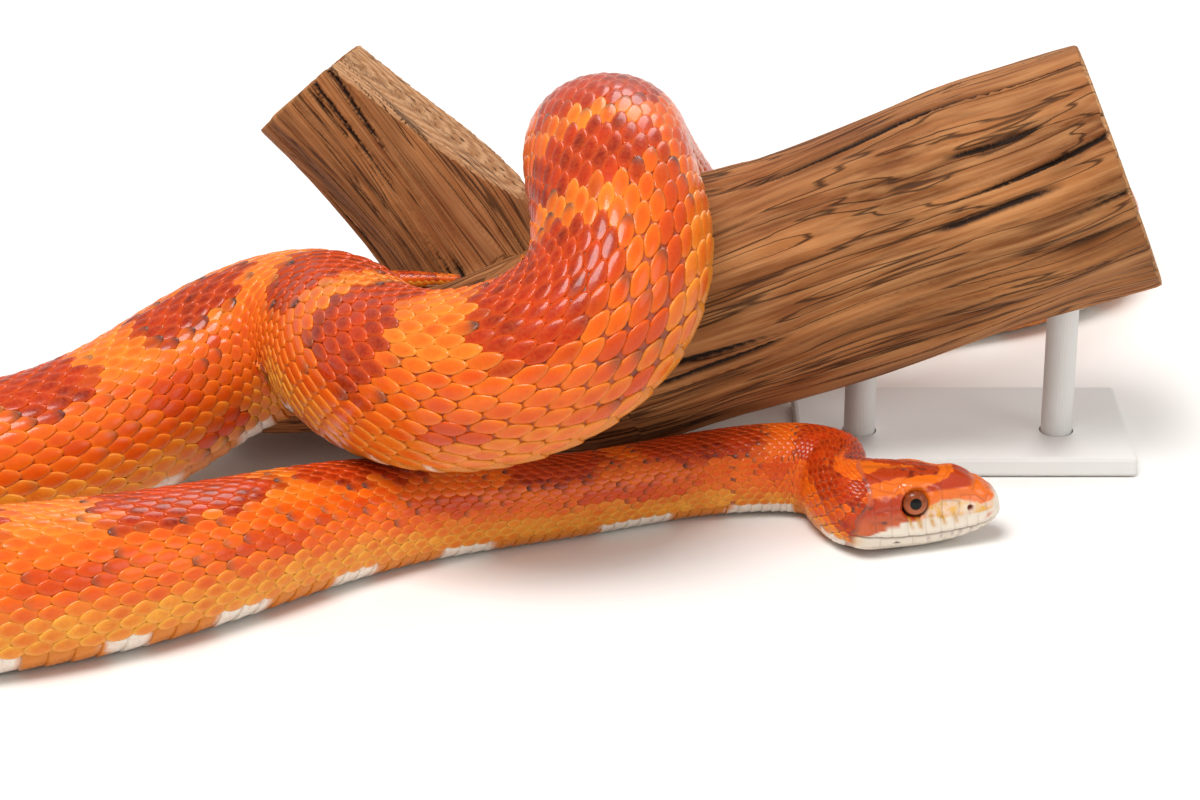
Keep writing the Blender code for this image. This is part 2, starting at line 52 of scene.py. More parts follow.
STATIONS = (  # x, y, half width on the floor; or x, y, z, half width and, off level, the way of the back
    (72.6, 22, 5), (64, 21.3, 5.6), (57.5, 20.8, 6.2), (51.4, 20.2, 7), (45.8, 23.2, 7.8), (45, 31.2, 8.3),
    (38, 36.6, 8.2), (26.6, 36, 7.9), (13, 33, 7.4), (-5, 24.8, 7.3), (-21, 20.4, 8.3), (-38, 14.5, 9.8),
    (-54, 4, 11.2), (-70, -8.5, 12.4), (-87, -18.5, 13.4), (-108, -25.5, 14), (-131, -29.5, 14.3),
    (-157, -33, 14.6), (-184, -33, 14.8), (-206, -24, 14.9), (-215, -6, 14.9), (-206, 12, 14.9),
    (-185, 21, 14.9), (-158, 21, 14.9), (-131, 18, 14.9), (-107, 23, 14, 14.8),
    (-90, 35, 16.5, 14.9), (-80, 44.5, 20, 15, 0, -0.1, 1), (-71.5, 51, 23.5, 15, 0, -0.1, 1),
    (-61, 53.5, 27.5, 15, 0, -0.2, 1), (-52, 49.5, 30, 15, 0, -0.2, 1),
    (-46.5, 40.5, 31.5, 15.1, 0, -0.2, 1), (-43.5, 29, 33, 15.2, 0, -0.2, 1),
    (-36.5, 16.5, 34.8, 15.3, -0.1, -0.3, 1), (-24.5, 6, 37.8, 15.5, -0.3, -0.4, 1),
    (-9.5, 3.5, 42.8, 15.6, -0.6, -0.5, 0.8), (2.5, 8.5, 51.5, 15.6, -0.7, -0.6, 0.6),
    (4, 21, 61, 15.6, -0.6, -0.6, 0.7), (1.5, 38, 66, 15.6, -0.2, -0.3, 1), (1, 55, 63, 15.5, 0, 0.2, 1),
    (3.5, 73, 52.5, 15.3, 0, 0.6, 0.8), (10, 88, 37, 15.1, 0, 0.9, 0.6), (21.5, 99, 20, 14.9, 0, 0.6, 1),
    (40, 108, 13.2, 14.6), (62, 117, 14.2), (84, 124, 13.7), (102, 137, 13.1), (107, 157, 12.6),
    (95, 174, 12.1), (73, 178, 11.6), (52, 169, 11), (34, 154, 10.4), (17, 138, 9.8), (-1, 122, 9),
    (-22, 111, 7.7), (-43, 107, 6.7), (-63, 107, 5.9), (-81, 107, 5.2), (-94, 100, 4.7), (-96, 87, 4.3),
    (-87, 79, 3.9), (-76.5, 77, 11.5, 3.6), (-68, 76.5, 19.2, 3.2),
    (-58.5, 76.2, 24, 2.8), (-49, 75.8, 27.2, 2.4), (-41, 75.5, 29, 2),
    (-34, 75, 29.3, 1.5), (-26.6, 75, 29.1, 1))


def smooth_rows(rows, steps, weights):
    """More rows between the given ones, by a cubic basis over each four of them."""
    rows = np.array(rows, float)
    rows = np.vstack([2 * rows[0] - rows[1], rows, 2 * rows[-1] - rows[-2]])
    powers = np.array([[t ** 3, t * t, t, 1] for t in np.arange(steps) / steps])
    spans = [powers @ weights @ rows[k:k + 4] for k in range(len(rows) - 3)]
    return np.vstack(spans + [rows[-2:-1]])


EASED = np.array([[-1, 3, -3, 1], [3, -6, 3, 0], [-3, 0, 3, 0], [1, 4, 1, 0]]) / 6
THROUGH = np.array([[-1, 3, -3, 1], [2, -5, 4, -1], [-1, 0, 1, 0], [0, 2, 0, 0]]) / 2

rows = [row if len(row) > 3 else (*row[:2], BELLY_DROP * row[2], row[2]) for row in STATIONS]
course = smooth_rows([(*row, *UP)[:7] for row in rows], 16, EASED)
course[:, :3] -= STAND_CENTRE
course_distance = np.concatenate([[0], np.cumsum(np.linalg.norm(np.diff(course[:, :3], axis=0), axis=1))])
BODY_LENGTH = course_distance[-1]


def unit(vectors):
    return vectors / np.maximum(np.linalg.norm(vectors, axis=-1, keepdims=True), 1e-9)


def read_course(distance, columns=7):
    return np.stack([np.interp(distance, course_distance, column) for column in course.T[:columns]], -1)


def half_width(distance):
    return np.interp(distance, course_distance, course[:, 3])


def read_line(line, place):
    """A bent line's second number at places along its first."""
    return np.interp(place, *np.array(line).T)


def course_at(distance):
    """Centres, half widths, and the ways to the back and to the left at distances behind the snout."""
    here = read_course(distance)
    ahead, behind = [read_course(np.clip(distance + step, 0, BODY_LENGTH), 3) for step in (1.5, -1.5)]
    along = unit(ahead - behind)
    back = unit(here[..., 4:] - along * np.sum(here[..., 4:] * along, -1, keepdims=True))
    return here[..., :3], here[..., 3], back, np.cross(along, back)


def rounded(value, power):
    return np.sign(value) * np.abs(value) ** power


def section_at(angle):
    """Across and up shares of the body's section at an angle from the middle of the back."""
    across, up = np.sin(angle), np.cos(angle)
    power = np.where(up >= 0, BACK_ROUNDNESS, BELLY_ROUNDNESS)
    return rounded(across, power), np.maximum(rounded(up, power), -BELLY_DROP)


half_angles = np.linspace(0, np.pi, 721)
half_section = np.stack(section_at(half_angles), -1)
half_round = np.concatenate([[0], np.cumsum(np.linalg.norm(np.diff(half_section, axis=0), axis=1))])
HALF_GIRTH = half_round[-1]              # in half widths
half_round /= HALF_GIRTH


def angle_of(share):
    return np.sign(share) * np.interp(np.abs(share), half_round, half_angles)


# The skull's form. The head is straight for its whole length and wider than the neck, flat on the
# crown, with a blunt snout; behind the jaw its section passes smoothly into the bent neck's.
HEAD_PROFILE = (  # distance behind the snout, half width, crown, widest level, underside
    (0, 0.25, 6.95, 6.8, 6.6), (0.12, 1.1, 7.6, 6.8, 5.8), (0.4, 1.95, 8.45, 6.8, 5),
    (0.8, 2.5, 9.15, 6.7, 4.4), (1.4, 3.05, 9.95, 6.6, 3.8), (3, 3.85, 11.2, 6.4, 2.8),
    (5, 4.45, 12.4, 6.1, 1.9), (8, 5.1, 13.75, 5.8, 1), (9.6, 5.45, 13.95, 5.75, 0.7),
    (11.6, 5.95, 13.9, 5.7, 0.35), (14, 6.6, 14.25, 5.7, 0.1), (17.5, 7.3, 14.6, 5.7, 0),
    (21, 8.2, 14.7, 5.9, 0), (24, 8.95, 14.8, 6.2, 0), (27, 9.2, 14.9, 6.4, 0), (30, 9, 14.9, 6.5, 0),
    (34, 8.5, 14.9, 6.6, 0), (39, 8.2, 14.9, 6.7, 0))
CROWN_ROUNDNESS, CHIN_ROUNDNESS = 0.62, 0.80
CROWN_TAPER = 0.12
SKULL_END, NECK_START = 25, 37

head_profile = smooth_rows(HEAD_PROFILE, 8, THROUGH)
snout = course_at(0.0)[0]
head_way = unit((course_at(20.0)[0] - snout) * (1, 1, 0))
head_left = np.cross(head_way, UP)


def eased(value, start, end):
    """From 0 at the start to 1 at the end, without a kink; the start may be the higher one."""
    share = np.clip((value - start) / (end - start), 0, 1)
    return share * share * (3 - 2 * share)


def form(distance, angle):
    """The snake's outer surface, in millimetres, at distances behind the snout and angles from the back."""
    centre, width, back, left = course_at(distance)
    across, up = section_at(angle)
    body = centre + left * (across * width)[..., None] + back * (up * width)[..., None]
    wide, crown, level, under = [read_line(head_profile[:, (0, k)], distance) for k in (1, 2, 3, 4)]
    across, up = np.sin(angle), np.cos(angle)
    power = np.where(up >= 0, CROWN_ROUNDNESS, CHIN_ROUNDNESS)
    share = rounded(up, power)
    across = rounded(across, power) * (1 - CROWN_TAPER * np.maximum(share, 0))
    head = snout + head_way * distance[..., None] + head_left * (across * wide)[..., None]
    head[..., 2] = level + np.where(up >= 0, crown - level, level - under) * share
    mix = eased(distance, SKULL_END, NECK_START)[..., None]
    made = head * (1 - mix) + body * mix
    made[..., 2] = np.maximum(made[..., 2], 0)
    return made


def outward(distance, angle):
    """Unit normals of that surface."""
    low, high = [np.clip(distance + step, 0, BODY_LENGTH) for step in (-0.15, 0.15)]
    backward = form(high, angle) - form(low, angle)
    round_left = form(distance, angle + 0.01) - form(distance, angle - 0.01)
    return unit(np.cross(backward, -round_left))


def raised(distance, angle, lift, lowest):
    """Places at a height over that surface, none of them under the lowest level."""
    points = form(distance, angle) + outward(np.clip(distance, 0, BODY_LENGTH - 0.3), angle) * lift[..., None]
    points[..., 2] = np.maximum(points[..., 2], lowest)
    return points


# The markings of the skin, which the skin and the scales share. Rows of the back's saddles, the side
# blotches between them, the belly's checks and the dark skin at their edges are all read from here.
rng = np.random.default_rng(7)
SADDLES = [  # start, end, half width as a share of the half girth
    (50, 74, 0.27), (81, 103, 0.27), (116, 143, 0.18), (147, 180, 0.2), (195, 214, 0.21), (225, 246, 0.24),
    (258, 279, 0.25), (291, 311, 0.25), (324, 343, 0.25), (355, 374, 0.25), (386, 405, 0.25),
    (415, 430, 0.24), (436, 456, 0.23), (469, 494, 0.14), (504, 524, 0.3), (534, 552, 0.38),
    (566, 595, 0.25), (601, 614, 0.32), (618, 637, 0.27)]
while SADDLES[-1][1] < BODY_LENGTH - 12:
    last_length = SADDLES[-1][1] - SADDLES[-1][0]
    next_start = SADDLES[-1][1] + 0.5 * last_length
    SADDLES.append((next_start, next_start + max(0.95 * last_length, 8), 0.27))
YELLOW_FROM = ((26, 0.52), (33, 0.54), (36, 0.55), (46, 0.50), (60, 0.43))
NAPE = ((22, 0.25), (25, 0.29), (28, 0.36), (31, 0.44), (36, 0.36), (42, 0.25), (47, 0.25))
BLOTCHES = [  # start, end, upper and lower share, on the side that each was seen on
    (39, 54, -0.43, -0.3), (70, 89, -0.47, -0.34), (104, 122, -0.43, -0.3), (127, 143, -0.34, -0.28),
    (144, 156, -0.44, -0.31), (157, 163, -0.4, -0.33), (179, 195, -0.4, -0.29), (433, 438, 0.45, 0.5),
    (447, 452, 0.35, 0.42), (459, 474, 0.25, 0.4), (480, 485, 0.2, 0.27), (468, 481, 0.5, 0.65),
    (557, 565, 0.4, 0.5), (579, 587, 0.35, 0.45), (583, 591, 0.42, 0.5)]
BLOTCHES += [(start + 4, end + 4, -high, -low) for start, end, low, high in BLOTCHES]
for before, after in zip(SADDLES, SADDLES[1:]):
    middle = (before[1] + after[0]) / 2
    if 200 < middle < 430 or middle > 595:
        reach = 0.45 * (after[0] - before[0]) / 2
        inset = 0.28 * (before[1] - before[0])
        for side in (-1, 1):
            BLOTCHES.append((middle - reach, middle + reach, *sorted((0.36 * side, 0.47 * side))))
            BLOTCHES.append((before[0] + inset, before[1] - inset, *sorted((0.53 * side, 0.60 * side))))
CHECKS = [(31, 43), (58, 70), (84, 104), (114, 129), (138, 152), (162, 174), (181, 195)]
while CHECKS[-1][1] < BODY_LENGTH - 8:
    start = CHECKS[-1][1] + (rng.uniform(6, 12) if not 530 < CHECKS[-1][1] < 640 else 0)
    CHECKS.append((start, start + rng.uniform(8, 14)))
BELLY_EDGE = 0.665                       # where the wide belly plates begin
MIDDLE_HALF_WIDTH = 14.6


def wobble(distance, share, size, seed):
    """A smooth random number between about -1 and 1 over the skin."""
    flat = [noise.noise((d / size, q * 48 / size + 7 * seed, 3.1 * seed))
            for d, q in zip(distance.ravel(), share.ravel())]
    return np.array(flat).reshape(distance.shape) * 1.6


def patch_depth(distance, share, girth, patches, power):
    """How far inside the nearest of several rounded patches each place lies, in millimetres."""
    best = np.full(distance.shape, -99.0)
    for start, end, low, high in patches:
        near = np.where((distance > start - 8) & (distance < end + 8))
        d, q, round_girth = distance[near], share[near], girth[near]
        half_long, half_wide = (end - start) / 2, (high - low) / 2
        radius = (np.abs((d - start - half_long) / half_long) ** power
                  + np.abs((q - low - half_wide) / half_wide) ** power) ** (1 / power)
        best[near] = np.maximum(best[near], (1 - radius) * np.minimum(half_long, half_wide * round_girth))
    return best


def hill(value, middle, width):
    """A smooth bump of height 1."""
    return np.exp(-((value - middle) / width) ** 2)


def markings(distance, share, soft, scatter):
    """Masks of saddle, side blotch, belly, belly check, dark edge and yellow side at places on the skin."""
    girth = MIDDLE_HALF_WIDTH * HALF_GIRTH * np.clip(half_width(distance) / MIDDLE_HALF_WIDTH, 0.15, 1.1)
    rough = wobble(distance, share, 5, 1) + scatter
    around = np.abs(share)
    saddles = [(start, end, -reach, reach) for start, end, reach in SADDLES]
    reach = read_line(NAPE, distance)
    nape = np.minimum(np.minimum(43 - distance, (reach - around) * girth),
                      np.maximum(distance - 32.5, (around - 0.13) * girth))
    temple = np.minimum(29.5 - distance, np.minimum(around - reach - 0.09, 0.585 - around) * girth)
    saddle_depth = np.maximum(np.maximum(patch_depth(distance, share, girth, saddles, 3.5), nape), temple)
    saddle_depth += 1.2 * rough
    blotch_depth = patch_depth(distance, share, girth, BLOTCHES, 2.5) + 1.1 * rough
    check_depth = np.max([np.minimum(distance - start, end - distance) for start, end in CHECKS], axis=0)
    saddle = eased(saddle_depth, -soft, soft)
    blotch = eased(blotch_depth, -0.5, 0.9)
    check = eased(check_depth + 0.5 * rough, -0.3, 0.3)
    belly = eased(around, BELLY_EDGE - 0.012, BELLY_EDGE + 0.012)
    edge = np.maximum(hill(saddle_depth, 0, 1.3), 0.7 * hill(blotch_depth, 0, 1))
    edge *= eased(wobble(distance, share, 3.4, 2), -0.10, 0.30)
    upper = read_line(YELLOW_FROM, distance) + 0.03 * rough
    yellow = eased(around, upper, upper + 0.14)
    yellow *= 1 - 0.6 * eased(distance, 525, 545) * eased(distance, 670, 640)
    yellow = np.maximum(yellow, 0.4 * eased(around, 0.22, 0.14) * eased(distance, 100, 130))
    return saddle, blotch, belly, check, edge, yellow


def add_mesh(name, points, faces):
    """A new piece from points in millimetres and faces given as rows of point numbers."""
    mesh = bpy.data.meshes.new(name)
    mesh.from_pydata((points.reshape(-1, 3) * MM).tolist(), [], faces)
    mesh.update()
    mesh.shade_smooth()
    piece = bpy.data.objects.new(name, mesh)
    bpy.context.scene.collection.objects.link(piece)
    return piece


def add_attribute(piece, name, values):
    """A value for each point of a piece's mesh: one number, or a colour of four."""
    single = values.ndim == 1
    field = piece.data.attributes.new(name, "FLOAT" if single else "FLOAT_COLOR", "POINT")
    field.data.foreach_set("value" if single else "color", values.astype(np.float32).ravel())


def grid_faces(rows, columns, closed):
    """Quads between rows of points, joined round where the rows are closed rings."""
    return [(row * columns + column, (row + 1) * columns + column,
             (row + 1) * columns + (column + 1) % columns, row * columns + (column + 1) % columns)
            for row in range(rows - 1) for column in range(columns if closed else columns - 1)]


def tube_faces(rows, columns):
    """Faces of a closed tube, with a cap on each end."""
    ring = range(columns)
    last = (rows - 1) * columns
    return grid_faces(rows, columns, True) + [tuple(ring), tuple(last + k for k in reversed(ring))]


# The skin finish. Colour comes from the markings carried by each piece: orange back, yellow lower
# sides, dark red saddles with darker scale centres, white belly with ochre checks, brown skin between.
def joined(socket, value):
    """Links a socket into another, or sets a plain number or colour on it."""
    if isinstance(value, bpy.types.NodeSocket):
        socket.id_data.links.new(value, socket)
    else:
        socket.default_value = value if socket.type == "VALUE" else (*value, 1)


def node_beside(kind, *values):
    """A new node in the tree of the first socket among the values."""
    sockets = [value for value in values if isinstance(value, bpy.types.NodeSocket)]
    return sockets[0].id_data.nodes.new(kind)


def maths(operation, first, second=0, clamp=False):
    node = node_beside("ShaderNodeMath", first, second)
    node.operation = operation
    node.use_clamp = clamp
    joined(node.inputs[0], first)
    joined(node.inputs[1], second)
    return node.outputs[0]


def times(first, second):
    return maths("MULTIPLY", first, second)


def mixed(factor, first, second, strength=1):
    """A colour mix: the factor is taken at the given strength."""
    node = node_beside("ShaderNodeMix", factor, first, second)
    node.data_type = "RGBA"
    joined(node.inputs[0], factor if strength == 1 else times(factor, strength))
    joined(node.inputs[6], first)
    joined(node.inputs[7], second)
    return node.outputs[2]


def noise_value(vector, scale, detail):
    node = node_beside("ShaderNodeTexNoise", vector)
    node.inputs["Scale"].default_value = scale
    node.inputs["Detail"].default_value = detail
    joined(node.inputs["Vector"], vector)
    return node.outputs["Fac"]


def stretched(factor, low, high):
    """A value spread from one range to 0..1."""
    node = node_beside("ShaderNodeMapRange", factor)
    joined(node.inputs["Value"], factor)
    node.inputs["From Min"].default_value = low
    node.inputs["From Max"].default_value = high
    return node.outputs["Result"]


def attribute(shader, name):
    node = shader.id_data.nodes.new("ShaderNodeAttribute")
    node.attribute_name = name
    return node


def parts_of(colour):
    """The three parts of a colour."""
    split = node_beside("ShaderNodeSeparateColor", colour)
    joined(split.inputs["Color"], colour)
    return tuple(split.outputs)


def places(shader):
    return shader.id_data.nodes.new("ShaderNodeTexCoord").outputs["Object"]


GROUND, GROUND_RED = (0.79, 0.128, 0.005), (0.66, 0.062, 0.004)
LOW_SIDE, LOW_SIDE_PALE, LOW_SIDE_CENTRE = (0.74, 0.19, 0.008), (0.80, 0.32, 0.026), (0.62, 0.12, 0.006)
GROUND_RIM, LOW_SIDE_RIM = (0.86, 0.25, 0.018), (0.86, 0.50, 0.08)
SADDLE, SADDLE_DARK, SADDLE_RIM = (0.50, 0.029, 0.003), (0.16, 0.008, 0.002), (0.70, 0.080, 0.006)
BLOTCH, MOTTLE = (0.58, 0.052, 0.004), (0.55, 0.10, 0.010)
BELLY_WHITE, CHECK = (0.80, 0.75, 0.66), (0.62, 0.20, 0.018)
BETWEEN, BETWEEN_PLATES = (0.26, 0.095, 0.070), (0.50, 0.36, 0.28)
EDGE_DARK = (0.045, 0.030, 0.032)
MARKS, PLACE = ("Saddle", "Blotch", "Belly", "Check"), ("Side", "Rim", "Random", "Edge")

colours = bpy.data.node_groups.new("scale_colours", "ShaderNodeTree")
SOCKETS = [(label, "INPUT", "Float") for label in (*MARKS, *PLACE, "Between")]
SOCKETS += [("Place", "INPUT", "Vector"), ("Color", "OUTPUT", "Color"), ("Roughness", "OUTPUT", "Float")]
for label, way, kind in SOCKETS:
    colours.interface.new_socket(name=label, in_out=way, socket_type="NodeSocket" + kind)
given = colours.nodes.new("NodeGroupInput").outputs
found = colours.nodes.new("NodeGroupOutput").inputs
fine = noise_value(given["Place"], 1400, 4)
patchy = noise_value(given["Place"], 230, 4)
reddening = maths("ADD", times(given["Random"], 0.50),
                  times(stretched(patchy, 0.36, 0.66), 0.55), clamp=True)
centre = times(maths("SUBTRACT", 1, given["Rim"]), reddening)
ground = mixed(reddening, GROUND, GROUND_RED, 0.95)
low = mixed(reddening, LOW_SIDE_PALE, LOW_SIDE)
low = mixed(centre, low, LOW_SIDE_CENTRE, 0.75)
base = mixed(given["Side"], ground, low)
pale_rim = mixed(given["Side"], GROUND_RIM, LOW_SIDE_RIM)
base = mixed(given["Rim"], base, pale_rim, 0.60)
base = mixed(given["Blotch"], base, mixed(given["Rim"], BLOTCH, GROUND, 0.5))
saddle = mixed(reddening, SADDLE, SADDLE_DARK, 0.95)
base = mixed(given["Saddle"], base, mixed(given["Rim"], saddle, SADDLE_RIM, 0.8))
base = mixed(given["Belly"], base, mixed(given["Check"], BELLY_WHITE, CHECK))
skin_between = mixed(given["Belly"], mixed(0.40, BETWEEN, base), BETWEEN_PLATES)
base = mixed(given["Between"], base, skin_between)
base = mixed(given["Edge"], base, EDGE_DARK)
base = mixed(stretched(fine, 0.40, 0.70), base, MOTTLE, 0.30)
joined(found["Color"], base)
roughness = maths("ADD", times(fine, 0.18), 0.20)
roughness = maths("ADD", roughness, times(given["Between"], 0.25))
joined(found["Roughness"], roughness)


def shaded_material(name, coat):
    """A new material with its shader node: a glossy clear layer over the piece's own finish."""
    material = bpy.data.materials.new(name)
    material.use_nodes = True
    shader = material.node_tree.nodes["Principled BSDF"]
    shader.inputs["Coat Weight"].default_value = coat
    shader.inputs["Coat Roughness"].default_value = 0.08
    shader.inputs["Specular IOR Level"].default_value = 0.15
    return material, shader


def feed(shader, colour, roughness, height, strength, depth):
    """Colour, roughness and a fine relief for a material's shader."""
    bump = node_beside("ShaderNodeBump", height)
    bump.inputs["Strength"].default_value = strength
    bump.inputs["Distance"].default_value = depth
    joined(bump.inputs["Height"], height)
    joined(shader.inputs["Base Color"], colour)
    joined(shader.inputs["Roughness"], roughness)
    joined(shader.inputs["Normal"], bump.outputs["Normal"])


def skin_material(name, coat, between):
    """A skin finish that reads the markings of its piece."""
    material, shader = shaded_material(name, coat)
    look = shader.id_data.nodes.new("ShaderNodeGroup")
    look.node_tree = colours
    for field, labels in (("marks", MARKS), ("place", PLACE)):
        node = attribute(shader, field)
        for label, socket in zip(labels, (*parts_of(node.outputs["Color"]), node.outputs["Alpha"])):
            joined(look.inputs[label], socket)
    where = places(shader)
    joined(look.inputs["Place"], where)
    look.inputs["Between"].default_value = between
    feed(shader, look.outputs["Color"], look.outputs["Roughness"], noise_value(where, 1600, 2), 0.12, 0.0003)
    return material, shader, look


scale_finish = skin_material("glossy_scales", 0.27, 0)[0]

# The soft skin under the scales. It is one long smooth tube from the nape to the tip of the tail,
# sunk below the outer surface by the thickness of the scales, and shows only in the gaps between them.
SCALE_DEPTH = 0.045                      # in half widths
SKIN_START, TAIL_START = 58, 1080
SKIN_SIDES = 56
skin_distances = np.concatenate([np.arange(SKIN_START, TAIL_START, 2.2),
                                 np.arange(TAIL_START, BODY_LENGTH, 1)])


def scale_depth(distance):
    return SCALE_DEPTH * half_width(distance)


def skin_colours(d, q, soft=0.5, scatter=0.0):
    """The two colour attributes of a stretch of skin or scales."""
    saddle, blotch, belly, check, edge, side = markings(d, q, soft, scatter)
    marks = np.stack([saddle, blotch, belly, check], -1)
    place = np.stack([side, 0 * side, 0 * side + 0.5, edge], -1)
    return marks.reshape(-1, 4), place.reshape(-1, 4)


d, q = np.meshgrid(skin_distances, np.linspace(-1, 1, SKIN_SIDES, endpoint=False), indexing="ij")
angle = angle_of(q)
body_points = form(d, angle) - outward(d, angle) * scale_depth(d)[..., None]
body_faces = tube_faces(len(skin_distances), SKIN_SIDES)
body_marks, body_place = skin_colours(d, q)

# The head. Its skin is one fine mesh from the snout to the neck, with the shields of the crown, the
# lips and the chin parted by shallow grooves, a raised brow over each eye, and the mouth's closed line.
HEAD_SIDES = 236
HEAD_MESH_END = 60
head_distances = np.concatenate([(0, 0.03, 0.08, 0.15, 0.24, 0.34, 0.46, 0.6, 0.76, 0.94),
                                 np.arange(1.12, 30, 0.19), np.arange(30, HEAD_MESH_END, 0.6)])
EYE_PLACE, NOSTRIL_PLACE = (16.4, 9.9), (6, 8.1)
MOUTH_LINE = ((-1, 5.45), (0, 5.4), (2.2, 4.9), (5, 4.3), (9.6, 3.9), (15, 3.8), (20, 4.1), (24, 4.75),
              (27, 5.1), (28.8, 4.7))
# Seams between the shields seen from above: distance behind the snout, distance from the middle plane
CROWN_SEAMS = (
    ((1.6, 0), (1.9, 1.1), (2.8, 2)),  # rostral
    ((1.6, 0), (4.9, 0)),  # between the internasals
    ((4.9, 0), (4.7, 1.6), (5.3, 3.2), (5.9, 4.2)),  # internasals to prefrontals
    ((4.9, 0), (9.9, 0)),  # between the prefrontals
    ((9.9, 0), (9.7, 1.2), (10.4, 2.3), (11.3, 3.6), (11.9, 5.2)),
    ((10.4, 2.3), (13.5, 2.05), (16.3, 1.75)),  # frontal's side
    ((16.3, 1.75), (17.4, 0.9), (18, 0)),  # frontal's rear
    ((16.3, 1.75), (17.6, 3.4), (18.9, 4.9)),  # brow to parietal
    ((11.9, 5.2), (13.6, 5.85), (16.4, 6.2), (18.4, 5.9), (18.9, 4.9)),  # outer edge of the brow
    ((18, 0), (25.2, 0)),  # between the parietals
    ((18.9, 4.9), (20.4, 5.3), (22.6, 4.7), (24.6, 3.2), (25.8, 1.6), (25.2, 0)),
    ((18.9, 4.9), (20.2, 6.4), (22.9, 6.5), (22.6, 4.7)),  # upper temples
    ((22.9, 6.5), (25.6, 5.9), (24.6, 3.2)),
)
# Seams seen from the side: distance behind the snout, height
SIDE_SEAMS = (
    ((1.9, 5.1), (2.6, 6.6), (3.2, 8.8), (2.6, 9.8)),  # rostral to nasal
    ((2.6, 6.6), (6, 6.5), (8.2, 6.6), (11, 6.9), (13.4, 7.5)),  # top of the upper lips
    ((3.2, 8.8), (5, 10.2), (7.8, 10.6), (8, 8.6), (8.2, 6.6)),  # nasal
    ((6, 6.5), (6, 10.35)),
    ((8, 8.6), (8.2, 9.5), (11.2, 10), (11.2, 6.9)),  # loreal
    ((11.2, 10), (11.4, 12), (12.6, 12.8)),  # in front of the eye
    ((18.8, 11.7), (20.6, 12.1), (21, 9.8), (20.8, 7.6), (18.9, 7.6)),
    ((19.1, 9.5), (21, 9.6)),
    ((20.8, 7.6), (23.6, 7.5), (25.4, 7.9)),  # top of the rear lips
    ((21, 9.6), (24.2, 9.4), (23.6, 7.5)),
    ((20.6, 12.1), (24, 12.2), (24.2, 9.4)),
    ((4.3, 4.5), (4.4, 6.55)), ((6.4, 4.2), (6.6, 6.5)), ((8.7, 4), (9, 6.65)),
    ((11.3, 3.9), (11.6, 6.95)), ((14.2, 3.8), (14.4, 7.5)), ((17.4, 3.9), (17.9, 7.6)),
    ((20.6, 4.2), (20.8, 7.6)), ((23.6, 4.8), (23.8, 7.5)),
    ((2, 3.3), (1.7, 4.9)), ((3.6, 2.4), (3.7, 4.6)), ((5.6, 1.6), (5.7, 4.2)), ((7.8, 1.2), (8, 4)),
    ((10.3, 1), (10.6, 3.85)), ((13.2, 1.2), (13.6, 3.8)), ((16.4, 1.4), (16.8, 3.85)),
    ((19.6, 1.6), (19.9, 4.05)), ((22.6, 1.8), (22.9, 4.6)),
    ((2, 3), (4, 2), (7, 1.15), (11, 1), (16, 1.35), (22, 1.75), (26, 2.4)),
)


def line_distance(x, y, line):
    """Distance from points to a bent line, all flat."""
    best = np.full(x.shape, 1e9)
    for (ax, ay), (bx, by) in zip(line, line[1:]):
        run = (bx - ax) ** 2 + (by - ay) ** 2
        t = np.clip(((x - ax) * (bx - ax) + (y - ay) * (by - ay)) / run, 0, 1)
        best = np.minimum(best, np.hypot(x - ax - t * (bx - ax), y - ay - t * (by - ay)))
    return best


def seam_distance(x, y, seams):
    return np.min([line_distance(x, y, line) for line in seams], axis=0)


d, angle = np.meshgrid(head_distances, np.linspace(-np.pi, np.pi, HEAD_SIDES, endpoint=False), indexing="ij")
head_points = form(d, angle)
head_normals = outward(np.maximum(d, 0.02), angle)
length_back = (head_points - snout) @ head_way
lateral = np.abs((head_points - snout) @ head_left)
height = head_points[..., 2]
facing_up = head_normals[..., 2]


def spots(middles, long, high):
    """Smooth spots on the sides of the head."""
    return np.max([hill(length_back, x, long) * hill(height, z, high) for x, z in middles], axis=0)


on_head = eased(d, 27.5, 24.5)
crown_side = eased(facing_up, 0.35, 0.6)
gap = np.where(crown_side > 0.5, seam_distance(length_back, lateral, CROWN_SEAMS),
               seam_distance(length_back, height, SIDE_SEAMS))
groove = hill(gap, 0, 0.11) * on_head
lip = line_distance(length_back, height, MOUTH_LINE)
mouth_height = read_line(MOUTH_LINE, length_back)
mouth_share = eased(length_back, 29, 27.8)
eye_reach, nostril_reach = [np.hypot(length_back - place[0], height - place[1])
                            for place in (EYE_PLACE, NOSTRIL_PLACE)]
eye_side = eased(lateral, 3.2, 4.4)
on_side = lateral > 2
canthus = hill(height, 11.7 + 0.12 * (length_back - 8), 0.6)
HEAD_RELIEF = (  # how far each form stands out of the skull, or lies in it, and where
    (-0.09, groove), (0.10, (1 - hill(gap, 0, 0.55)) * on_head),
    (0.16, hill(height, mouth_height + 0.7, 0.6) * mouth_share * (facing_up < 0.7)),  # upper lip
    (-0.42, hill(lip, 0, 0.15) * mouth_share),
    (0.55, spots([(15.8, 13.1)], 3.2, 0.65) * eye_side),  # brow
    (0.22, canthus * eased(length_back, 4, 7) * eased(length_back, 14, 12)),
    (-0.45, spots([(10.6, 8.9)], 2.6, 1.3) * eye_side),  # before the eye
    (0.17, hill(eye_reach, 3, 0.28) * eye_side),
    (-0.35, eased(eye_reach, 3, 2.5) * eye_side), (-1.6, eased(eye_reach, 2.4, 2.18) * eye_side),
    (0.10, hill(nostril_reach, 0.75, 0.2) * on_side), (-0.75, eased(nostril_reach, 0.55, 0.3) * on_side),
    (0.25, hill(length_back, 8.3, 2.2) * hill(lateral, 0, 2.6) * crown_side),
    (-0.12, hill(length_back, 5, 0.8) * crown_side),
)
push = sum(amount * mask for amount, mask in HEAD_RELIEF)

